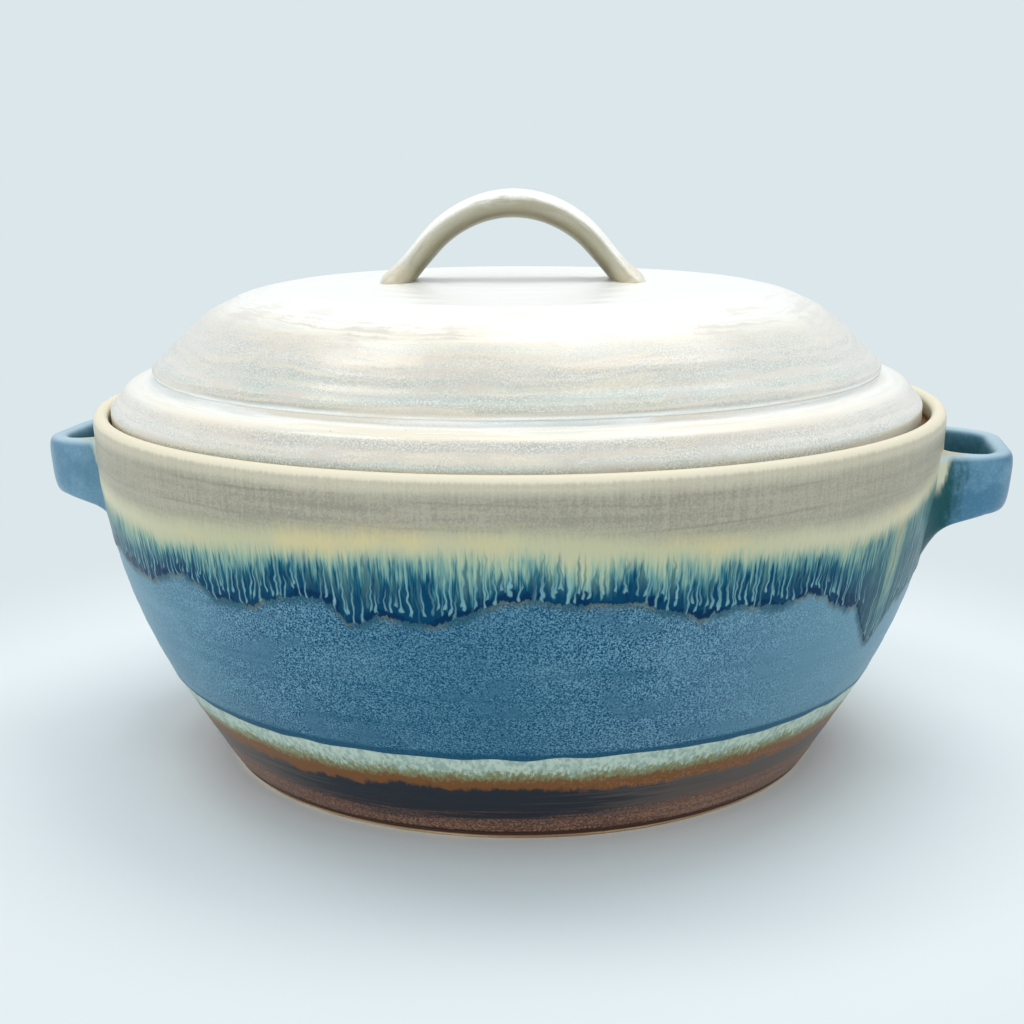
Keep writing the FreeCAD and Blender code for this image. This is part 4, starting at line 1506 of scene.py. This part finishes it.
    def upper(self, shader: Shader, place: Value, ring: Value, height: Value, over: Value) -> Value:
        """Colour of the cream glaze above its break: butter first, then stone, then a pale lip; the lip's top
        is a painted highlight, and painted sheen makes it paler towards the sides.

        Args:
            shader: The material under construction.
            place: Place on the pot.
            ring: Place on a drum of the pot's girth.
            height: Height on the pot.
            over: Height above the break's end.

        Returns:
            The colour.
        """
        bands = shader.noise(place, (70.0, 70.0, 3.4), 3.0, 0.6)
        speck = shader.noise(place, 0.7, 1.0)
        fall = shader.noise(ring, (1.1, 1.1, 12.0), 2.0, 0.6)
        wander = shader.noise(place, (55.0, 55.0, 400.0))
        glow = shader.noise(place, (34.0, 34.0, 30.0)).step(0.54, 0.68)
        mottle = bands * 0.65 + 0.175 + (speck - 0.5) * 0.55 + (fall - 0.5) * 0.4
        colour = shader.mix(mottle.step(0.32, 0.68), self.shade, self.stone)
        for low, seed in self.hairlines:
            gap = abs(height - low + (wander - 0.5) * 6.0)
            there = shader.noise(shader.moved(place, (seed, 50.0, 0.0)), 40.0, 1.0).step(0.44, 0.56)
            colour = shader.mix(gap.step(0.6, 0.1) * there * self.hairline_strength, colour, self.line)
        # Paler towards the left and right sides: painted sheen.
        side_sheen = abs(place.part("X")).step(60.0, 140.0)
        warm = shader.layered(self.butter, (glow * 0.75, self.amber), (side_sheen * 0.3, self.lip))
        near_lip = height + (fall - 0.5) * 1.2
        return shader.layered(
            colour,
            ((over + (fall - 0.5) * 5.0 + (wander - 0.5) * 5.0).step(11.0, 3.5), warm),
            (side_sheen * 0.12, self.lip),
            (near_lip.step(self.rim_height - 7.5, self.rim_height - 3.5) * 0.45, self.lip),
            # The lip's rounded top is pale: painted highlight.
            (near_lip.step(self.rim_height - 2.6, self.rim_height - 1.2), self.lip))

    def material(self) -> bpy.types.Material:
        """Build the material."""
        shader = Shader(self.name)
        place, flow = shader.place(), shader.flow()
        height = place.part("Z")
        lift, tall, dark = (flow.part(axis) for axis in "XYZ")
        ring = shader.drum(place, self.girth / TURN, height)
        sway = shader.noise(ring, (7.0, 7.0, 6.0))
        turn = shader.math("ARCTAN2", place.part("Y"), place.part("X")) / TURN + 0.5
        turn = turn + (sway - 0.5) * (4.0 / self.girth)
        whisker = shader.noise(ring, (0.9, 0.9, 3.0))
        fall = shader.noise(ring, (1.0, 1.0, 9.0))
        peel = shader.noise(place, 1.3)
        above = lift + (whisker - 0.5) * 2.6
        over = above - tall
        broken = self.breaking(shader, ring, turn, above, tall, dark)
        top = self.upper(shader, place, ring, height, over)
        cream = shader.mix((over + (fall - 0.5) * 7.0).step(-2.6, 4.0), broken, top)
        colour = shader.mix(above.step(-0.35, 0.35), self.belly(shader, place, height, 0.0 - above), cream)
        relief = peel * 0.5 + fall * above.step(0.0, 2.0) * 0.4
        return shader.finish(colour, 0.36 + (peel - 0.5) * 0.14, shader.bump(relief, 0.08), specular=0.05)


@dataclass(frozen=True)
class FootGlaze:
    """Dark glaze at the foot: pale where the blue ran thin over it, then ochre, rust and brown-black.

    Attributes:
        frill_height: How ragged the pale froth's lower edge is.
        black_start: Distances below the band between which the dark sets in.
        worn_start: Heights between which the brown of the worn foot sets in.
    """

    frill_height: float = 10.5
    black_start: tuple[float, float] = (11.9, 13.9)
    worn_start: tuple[float, float] = (11.0, 6.0)
    froth: Colour = paint(190, 208, 194)
    milk: Colour = paint(150, 176, 166)
    ochre: Colour = paint(132, 138, 102)
    rust: Colour = paint(122, 80, 44)
    ember: Colour = paint(160, 108, 80)
    black: Colour = paint(38, 44, 53)
    slate: Colour = paint(92, 84, 80)
    brown: Colour = paint(118, 84, 66)
    pink: Colour = paint(168, 128, 106)
    umber: Colour = paint(52, 30, 24)

    def material(self, foot_band: float) -> bpy.types.Material:
        """Build the material, for a pot whose foot glaze ends at a height.

        Args:
            foot_band: Height at which the foot glaze ends.

        Returns:
            The material.
        """
        shader = Shader("foot_glaze")
        place = shader.place()
        height, across = place.part("Z"), place.part("X")
        wave = shader.noise(place, (30.0, 30.0, 60.0))
        frill = shader.noise(place, (1.1, 1.1, 5.0), 3.0, 0.6)
        lobe = shader.noise(place, (6.0, 6.0, 14.0))
        grit = shader.noise(place, 0.8, 2.0, 0.6)
        brushed = shader.noise(place, (34.0, 34.0, 1.1), 3.0, 0.6)
        foam = shader.noise(place, (1.5, 1.5, 4.0), 3.0, 0.6)
        aside = abs(across + 8.0)
        down = foot_band - height + (wave - 0.5) * 5.0
        ragged = (frill - 0.5) * self.frill_height + (lobe - 0.5) * 3.0
        lower = down - across * 0.014 + (lobe - 0.5) * 6.5 - across.step(-5.0, -50.0) * 2.4
        hot = (lower + (grit - 0.5) * 6.0).step(10.0, 12.0) * across.step(10.0, 60.0)
        # Slate in brushed streaks, and more towards the left and right sides: partly glaze, partly painted
        # sheen.
        pale = (brushed * 0.8 + aside.step(15.0, 95.0) * 0.5).step(0.48, 0.86)
        low = height + (brushed - 0.5) * 16.0 - aside.step(20.0, 90.0) * 4.0
        worn = shader.mix((grit * 0.6 + brushed * 0.4).step(0.47, 0.60) * 0.75, self.brown, self.pink)
        colour = shader.layered(
            shader.mix((foam + (lobe - 0.5) * 0.3).step(0.36, 0.60), self.milk, self.froth),
            ((down + ragged).step(4.6, 7.8), self.ochre),
            ((down + ragged * 0.7).step(7.4, 10.6), self.rust),
            (hot * grit.step(0.50, 0.62) * 0.8, self.ember),
            ((lower + (frill - 0.5) * 3.0).step(*self.black_start), shader.mix(pale, self.black, self.slate)),
            (low.step(*self.worn_start) * (0.45 + grit.step(0.38, 0.55) * 0.5), worn),
            ((height + (grit - 0.5)).step(3.9, 2.9), self.umber))
        relief = foam * down.step(7.0, 4.0) * 0.8 + brushed * 0.4 + grit * 0.2
        return shader.finish(colour, 0.36 + (brushed - 0.5) * 0.2, shader.bump(relief, 0.13), specular=0.16)


@dataclass(frozen=True)
class HandleGlaze:
    """Steel-blue glaze, creamy where the upper glaze ran on to the handle, dark where it pooled; its top is
    paler by painted highlight, and its faces towards the wall darker, partly by painted shade.
    """

    body: Colour = paint(92, 138, 164)
    deep: Colour = paint(72, 120, 148)
    pale: Colour = paint(184, 210, 222)
    teal: Colour = paint(0, 70, 70)
    cream: Colour = paint(204, 206, 182)
    ochre: Colour = paint(206, 190, 146)

    def material(self, top: float) -> bpy.types.Material:
        """Build the material, for handles whose upper edge is at a height.

        Args:
            top: Height of the handles' upper edge.

        Returns:
            The material.
        """
        shader = Shader("handle_glaze")
        place, flow = shader.place(), shader.flow()
        height, out = place.part("Z"), flow.part("X")
        cloud = shader.noise(place, 13.0, 3.0, 0.55)
        grain = shader.noise(place, 1.2, 2.0, 0.6)
        tear = shader.noise(place, (3.0, 3.0, 7.0), 3.0, 0.6)
        inner = flow.part("Y").step(-0.3, -0.9)
        right = place.part("X").step(-100.0, 100.0)
        near = out + (tear - 0.5) * 13.0 + (height - top) * 0.05
        smear = out + (tear - 0.5) * 5.0 - (height - top) * 0.14
        lit_top = height.step(top - 2.0, top + 0.4)
        rim = height.step(top + 0.1, top + 0.8) * (out + (cloud - 0.5) * 8.0).step(16.0, 6.0)
        body = shader.layered(
            shader.mix(cloud.step(0.38, 0.62), self.deep, self.body),
            ((grain - 0.5 + cloud * 0.4).step(0.12, 0.45) * 0.1, self.pale),
            # Faces towards the wall darker teal: partly teal glaze, partly painted shade.
            (inner * 0.5, self.teal),
            ((1.0 - right) * (1.0 - inner) * 0.12, self.pale),
            (near.step(8.5, 1.5) * (0.12 + right * 0.78), self.teal),
            (smear.step(3.4, 0.6) * height.step(top - 14.0, top - 7.0), self.cream),
            # Paler along the top, where light falls from above: painted highlight.
            (lit_top * (1.0 - inner) * 0.85, self.pale),
            (rim * 0.7, self.ochre))
        relief = shader.noise(place, 2.4, 3.0)
        return shader.finish(body, 0.34 + (grain - 0.5) * 0.12, shader.bump(relief, 0.10), specular=0.12)


@dataclass(frozen=True)
class LidGlaze:
    """Cream-white glaze with bands left by throwing, read by distance from the crown along the lid. Its neck
    under the dome's edge and its left and right sides are painted paler: painted light.

    Attributes:
        bands: Distance and colour of each band.
        dome_edge: Distance of the dome's edge.
        neck_start: Distances between which the smooth neck sets in.
        neck_end: Distances between which it ends, the far one first.
        drum_radius: Radius of the drum that its streaks are drawn on: the less it is, the longer they are.
        streak_height: Height of a streak.
        pit_spacing: Distance between the cells that each hold one brown pit.
    """

    bands: tuple[tuple[float, Colour], ...] = (
        (0.0, paint(250, 250, 245)), (99.0, paint(250, 250, 245)), (106.0, paint(242, 240, 228)),
        (111.0, paint(227, 222, 206)), (116.0, paint(216, 211, 197)), (122.0, paint(217, 215, 204)),
        (126.5, paint(204, 206, 194)), (129.5, paint(209, 212, 199)), (131.5, paint(200, 207, 197)),
        (133.5, paint(207, 215, 206)), (135.0, paint(196, 195, 176)), (137.6, paint(186, 187, 174)),
        # From 138.4 the neck under the dome's edge is painted near white: painted highlight over the shade
        # there.
        (138.4, paint(250, 253, 252)), (144.0, paint(250, 250, 245)), (148.5, paint(242, 236, 216)),
        (152.0, paint(228, 220, 202)), (154.4, paint(212, 206, 195)), (156.2, paint(222, 219, 206)),
        (158.3, paint(212, 215, 205)), (160.6, paint(206, 216, 209)), (161.8, paint(194, 186, 158)),
        (170.0, paint(194, 186, 158)))
    dome_edge: float = 138.0
    neck_start: tuple[float, float] = (137.5, 139.0)
    neck_end: tuple[float, float] = (153.0, 149.0)
    drum_radius: float = 2.4
    streak_height: float = 2.0
    pit_spacing: float = 17.0
    white: Colour = paint(250, 250, 245)
    warm: Colour = paint(232, 220, 196)
    cool: Colour = paint(208, 215, 209)
    mauve: Colour = paint(208, 200, 190)
    speck: Colour = paint(156, 157, 152)
    pit: Colour = paint(132, 112, 86)

    def material(self, centre: tuple[float, float]) -> bpy.types.Material:
        """Build the material, for a lid whose axis is at a centre.

        Args:
            centre: Where the lid's axis stands.

        Returns:
            The material.
        """
        shader = Shader("lid_glaze")
        place, down = shader.place(), shader.flow().part("X")
        centred = shader.moved(place, (-centre[0], -centre[1], 0.0))
        wander = shader.noise(place, (55.0, 55.0, 55.0))
        cloud = shader.noise(place, 18.0, 3.0, 0.6)
        grain = shader.noise(place, 0.55, 2.0, 0.7)
        patch = shader.noise(shader.moved(place, (31.0, 7.0, 12.0)), 10.0, 4.0, 0.7)
        loose = down.step(self.dome_edge - 2.0, self.dome_edge - 16.0)
        path = down + ((wander - 0.5) * 15.0 + (cloud - 0.5) * 4.0) * loose + (cloud - 0.5) * 1.6
        path = path + (grain - 0.5) * 2.4
        drum = shader.drum(centred, self.drum_radius, path / self.streak_height)
        streak = shader.noise(drum, 1.0, 3.0, 0.6)
        length = self.bands[-1][0]
        body = shader.ramp(path / length, [(distance / length, tint) for distance, tint in self.bands])
        banded = down.step(84.0, 112.0)
        rough_part = 1.0 - down.step(*self.neck_start) * down.step(*self.neck_end)
        field = (cloud * 0.25 + patch * 0.25 + streak * 0.5).step(0.68, 0.30) * path.step(104.0, 122.0)
        field = field * rough_part
        pits = shader.node("ShaderNodeTexVoronoi", {}, {"Vector": place, "Scale": 1 / self.pit_spacing},
                           "Distance") * self.pit_spacing
        body = shader.layered(
            body,
            (streak.step(0.50, 0.60) * banded * 0.6, self.warm),
            (streak.step(0.48, 0.36) * banded * 0.5, self.cool),
            ((cloud * 0.5 + streak * 0.5).step(0.51, 0.60) * (banded * rough_part) * 0.65, self.mauve),
            # Paler towards the left and right of the lid: painted light that makes the sides as bright as the
            # front.
            (abs(centred.part("X")).step(45.0, 135.0) * 0.5, self.white),
            (grain.step(0.42, 0.60) * field * 0.66, self.speck),
            (grain.step(0.46, 0.34) * field * 0.5, self.white),
            (pits.step(0.5, 0.3) * 0.5, self.pit))
        relief = streak * 0.5 + grain * 0.3
        return shader.finish(body, 0.31 + (grain - 0.5) * 0.14, shader.bump(relief, 0.07), coat=0.3)


@dataclass(frozen=True)
class ArchGlaze:
    """Glaze of the lid's handle: tan on its sides, near white on top by painted highlight, and duller
    underneath by painted shade.
    """

    white: Colour = paint(250, 249, 240)
    tan: Colour = paint(170, 164, 136)
    sand: Colour = paint(206, 196, 166)
    grey: Colour = paint(150, 144, 118)
    # Painted shade: the colour of the underside, and of the underside near the feet.
    under: Colour = paint(122, 116, 94)
    moss_shade: Colour = paint(112, 108, 82)
    speck: Colour = paint(132, 122, 98)

    def material(self) -> bpy.types.Material:
        """Build the material."""
        shader = Shader("lid_handle_glaze")
        place, flow = shader.place(), shader.flow()
        rise, side = flow.part("X"), flow.part("Y")
        cloud = shader.noise(place, 8.0, 3.0, 0.6)
        grain = shader.noise(place, 0.8, 2.0, 0.6)
        along = {0: side * 4.0, 1: place.part("Y") / 3.0, 2: place.part("X") / 15.0}
        drawn = shader.noise(shader.node("ShaderNodeCombineXYZ", {}, along), 1.0, 3.0, 0.6)
        edge = side + (cloud - 0.5) * 0.5
        lit = edge - place.part("X").step(-14.0, -44.0) * 0.4
        foot = (rise + (cloud - 0.5) * 8.0).step(7.0, 1.0)
        body = shader.layered(
            shader.mix(cloud.step(0.38, 0.62), self.tan, self.grey),
            # Darker underneath: painted shade.
            (edge.step(0.3, -0.6) * 0.85, self.under),
            # Darker olive under the arch near its feet: painted shade.
            (edge.step(-0.3, -0.8) * rise.step(10.0, 3.0) * 0.7, self.moss_shade),
            # Near white on the outer face, less so on the left leg: painted highlight.
            (edge.step(-0.35, 0.55) * 0.45, self.white),
            (lit.step(0.12, 0.52), self.white),
            (drawn.step(0.46, 0.62) * edge.step(0.8, 0.2) * 0.5, self.grey),
            (foot * 0.5, self.sand),
            (grain.step(0.52, 0.72) * 0.15, self.speck))
        relief = shader.noise(place, 2.0, 3.0)
        return shader.finish(body, 0.36, shader.bump(relief, 0.06), coat=0.1, specular=0.36)


@dataclass(frozen=True)
class PlainGlaze:
    """An even satin glaze with clouds and a fine speckle."""

    name: str
    main: Colour
    second: Colour
    speck: Colour
    roughness: float = 0.36
    coat: float = 0.2

    def material(self) -> bpy.types.Material:
        """Build the material."""
        shader = Shader(self.name)
        place = shader.place()
        cloud = shader.noise(place, 16.0, 3.0, 0.55)
        grain = shader.noise(place, 0.8, 2.0, 0.6)
        body = shader.layered(shader.mix(cloud.step(0.36, 0.64), self.main, self.second),
                              (grain.step(0.58, 0.70) * 0.5, self.speck))
        relief = grain * 0.4 + shader.noise(place, 3.0) * 0.6
        rough = self.roughness + (grain - 0.5) * 0.14
        return shader.finish(body, rough, shader.bump(relief, 0.08), coat=self.coat)


@dataclass(frozen=True)
class BareClay:
    """Unglazed stoneware: warm, dry and gritty, with a brown stain above the edge of the foot."""

    stain: Colour = paint(70, 44, 32)
    main: Colour = paint(214, 190, 150)
    second: Colour = paint(168, 132, 96)
    grit: Colour = paint(112, 86, 64)

    def material(self) -> bpy.types.Material:
        """Build the material."""
        shader = Shader("bare_clay")
        place = shader.place()
        height = place.part("Z")
        turning = shader.noise(place, (40.0, 40.0, 0.8), 3.0, 0.6)
        grit = shader.noise(place, 0.7, 2.0, 0.6)
        body = shader.layered(shader.mix(turning.step(0.38, 0.62), self.main, self.second),
                              (grit.step(0.60, 0.70) * 0.6, self.grit),
                              (height.step(0.9, 1.7) * height.step(6.0, 5.0), self.stain))
        relief = turning + grit * 0.5
        return shader.finish(body, 0.82 + (grit - 0.5) * 0.1, shader.bump(relief, 0.12), specular=0.3)


# The studio

@dataclass(frozen=True)
class Lamp:
    """A square soft light, with its place and size in metres and its power in watts."""

    name: str
    place: tuple[float, float, float]
    size: float
    power: float

    def hang(self, target: Vector) -> None:
        """Hang the light so that it faces a point.

        Args:
            target: The point.
        """
        data = bpy.data.lights.new(self.name, "AREA")
        data.shape, data.size, data.energy = "SQUARE", self.size, self.power
        lamp = bpy.data.objects.new(self.name, data)
        turn = (target - Vector(self.place)).to_track_quat("-Z", "Y").to_matrix().to_4x4()
        lamp.matrix_world = Matrix.Translation(Vector(self.place)) @ turn
        bpy.context.scene.collection.objects.link(lamp)


@dataclass(frozen=True)
class Studio:
    """Floor, light and camera. Lengths are in metres, in the pot's own frame.

    Attributes:
        aim: How far the pot is turned to the camera, which stands at a distance from its axis.
        eye: Height of the camera.
        pitch: How far it looks down; yaw and roll are its small turns aside.
        middle: The point that the lamps face.
        fade: Distances, in millimetres, between which the floor takes on the backdrop's colour.
    """

    aim: float = math.radians(7.3)
    distance: float = 0.5864
    eye: float = 0.2133
    pitch: float = math.radians(12.66)
    yaw: float = math.radians(0.28)
    roll: float = math.radians(-0.355)
    lens: float = 57.43
    sensor: float = 36.0
    middle: tuple[float, float, float] = (0, 0, 0.09)
    floor_size: float = 8.0
    fade: tuple[float, float] = (130.0, 340.0)
    floor: Colour = paint(242, 248, 249)
    backdrop: Colour = paint(220, 231, 235)
    sky_tint: Colour = (0.93, 0.97, 1.0, 1.0)
    sky_strength: float = 0.78
    lamps: tuple[Lamp, ...] = (Lamp("overhead", (0.25, 0.30, 1.2), 0.8, 5.2),
                               Lamp("window", (-0.60, 0.10, 1.3), 0.4, 2.2),
                               Lamp("front", (-0.4, -1.9, 0.6), 1.6, 8.0))

    def camera(self) -> None:
        """Set the camera at the photograph's angle."""
        data = bpy.data.cameras.new("camera")
        data.lens, data.sensor_width = self.lens, self.sensor
        camera = bpy.data.objects.new("camera", data)
        place = Vector((math.sin(self.aim) * self.distance, -math.cos(self.aim) * self.distance, self.eye))
        turn = (Matrix.Rotation(self.aim + self.yaw, 4, "Z")
                @ Matrix.Rotation(math.pi / 2 - self.pitch, 4, "X") @ Matrix.Rotation(self.roll, 4, "Z"))
        camera.matrix_world = Matrix.Translation(place) @ turn
        bpy.context.scene.collection.objects.link(camera)
        bpy.context.scene.camera = camera

    def ground(self) -> None:
        """Lay the pale floor that the pot stands on; far off, the camera sees the backdrop's colour."""
        half = self.floor_size / 2
        corners = [(-half, -half, 0), (half, -half, 0), (half, half, 0), (-half, half, 0)]
        mesh = bpy.data.meshes.new("floor")
        mesh.from_pydata(corners, [], [(0, 1, 2, 3)])
        floor = bpy.data.objects.new("floor", mesh)
        bpy.context.scene.collection.objects.link(floor)
        shader = Shader("floor")
        place = shader.place()
        reach = shader.node("ShaderNodeVectorMath", {"operation": "LENGTH"}, {0: place}, "Value")
        colour = shader.mix(shader.noise(place, 300.0) * 0.3, self.floor, self.backdrop)
        cloth = shader.node("ShaderNodeBsdfPrincipled", {}, {"Base Color": colour, "Roughness": 0.7})
        plain = shader.node("ShaderNodeEmission", {}, {"Color": self.backdrop, "Strength": 1.0})
        seen = shader.node("ShaderNodeLightPath", {}, {}, "Is Camera Ray")
        mesh.materials.append(shader.close(shader.node(
            "ShaderNodeMixShader", {}, {0: seen * reach.step(*self.fade), 1: cloth, 2: plain})))

    def sky(self) -> None:
        """Even light from all round; the camera sees the pale backdrop in its place."""
        shader = Shader("studio", Kind.SKY)
        seen = shader.math("MAXIMUM", *(shader.node("ShaderNodeLightPath", {}, {}, ray)
                                        for ray in ("Is Camera Ray", "Is Transmission Ray")))
        light, view = (shader.node("ShaderNodeBackground", {}, {"Color": tint, "Strength": strength})
                       for tint, strength in ((self.sky_tint, self.sky_strength), (self.backdrop, 1.0)))
        mixed = shader.node("ShaderNodeMixShader", {}, {0: seen, 1: light, 2: view})
        bpy.context.scene.world = shader.close(mixed)

    def build(self) -> None:
        """Set up the whole studio."""
        self.camera()
        self.ground()
        self.sky()
        for lamp in self.lamps:
            lamp.hang(Vector(self.middle))
        bpy.context.scene.view_settings.view_transform = "Standard"


def settle(piece: bpy.types.Object, body: str, node: str, finish: bpy.types.Material) -> None:
    """Dress a piece, make it ride on its body and stand for its node.

    Args:
        piece: The piece.
        body: The body that carries it.
        node: The CAD node that it stands for.
        finish: Its material.
    """
    piece.data.materials.append(finish)
    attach(piece, body)
    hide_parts(node)
    log.info("%s: %d faces, for %s", piece.name, len(piece.data.polygons), node)


def main() -> None:
    """Build the casserole, piece by piece, and its studio."""
    logging.basicConfig(level=logging.INFO, format="%(message)s")
    wall_box, lid_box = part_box("pot_cream_glaze"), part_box("lid_glaze")
    glaze_play, handle_play = 0.08, 1.05
    pot = Pot(rim_radius=wall_box[1].y / MM - glaze_play, rim_height=wall_box[1].z / MM)
    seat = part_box("lid_body")[0].z / MM
    centre = ((lid_box[0].x + lid_box[1].x) / 2 / MM, (lid_box[0].y + lid_box[1].y) / 2 / MM)
    lid = Lid(edge_radius=(lid_box[1].x - lid_box[0].x) / 2 / MM, seat=seat,
              height=lid_box[1].z / MM - seat, centre=centre)
    handles = SideHandles(pot, reach=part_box("handle_right")[1].x / MM - handle_play)
    arch = LidHandle(lid, top=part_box("lid_handle")[1].z / MM)

    clay = BareClay().material()
    liner = PlainGlaze("liner_glaze", paint(228, 224, 208), paint(219, 214, 197),
                       paint(172, 162, 142)).material()
    cream, blue = (WallGlaze(name, pot.rim_height, pot.foot_band).material()
                   for name in ("cream_glaze", "blue_glaze"))
    strap = HandleGlaze().material(pot.rim_height - handles.below_rim)
    settle(pot.clay(), "pot", "pot_body", clay)
    settle(pot.cream_coat(), "pot", "pot_cream_glaze", cream)
    settle(pot.blue_coat(), "pot", "pot_blue_glaze", blue)
    settle(pot.foot_coat(), "pot", "pot_foot_glaze", FootGlaze().material(pot.foot_band))
    settle(pot.liner_coat(), "pot", "pot_liner_glaze", liner)
    settle(handles.piece("strap_right", False, 61), "pot", "handle_right", strap)
    settle(handles.piece("strap_left", True, 62), "pot", "handle_left", strap)
    settle(lid.clay(), "lid", "lid_body", clay)
    settle(lid.coat(), "lid", "lid_glaze", LidGlaze().material(lid.centre))
    settle(lid.liner(), "lid", "lid_liner_glaze", liner)
    settle(arch.piece(), "lid", "lid_handle", ArchGlaze().material())
    Studio().build()
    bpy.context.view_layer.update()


if __name__ == "__main__":
    main()
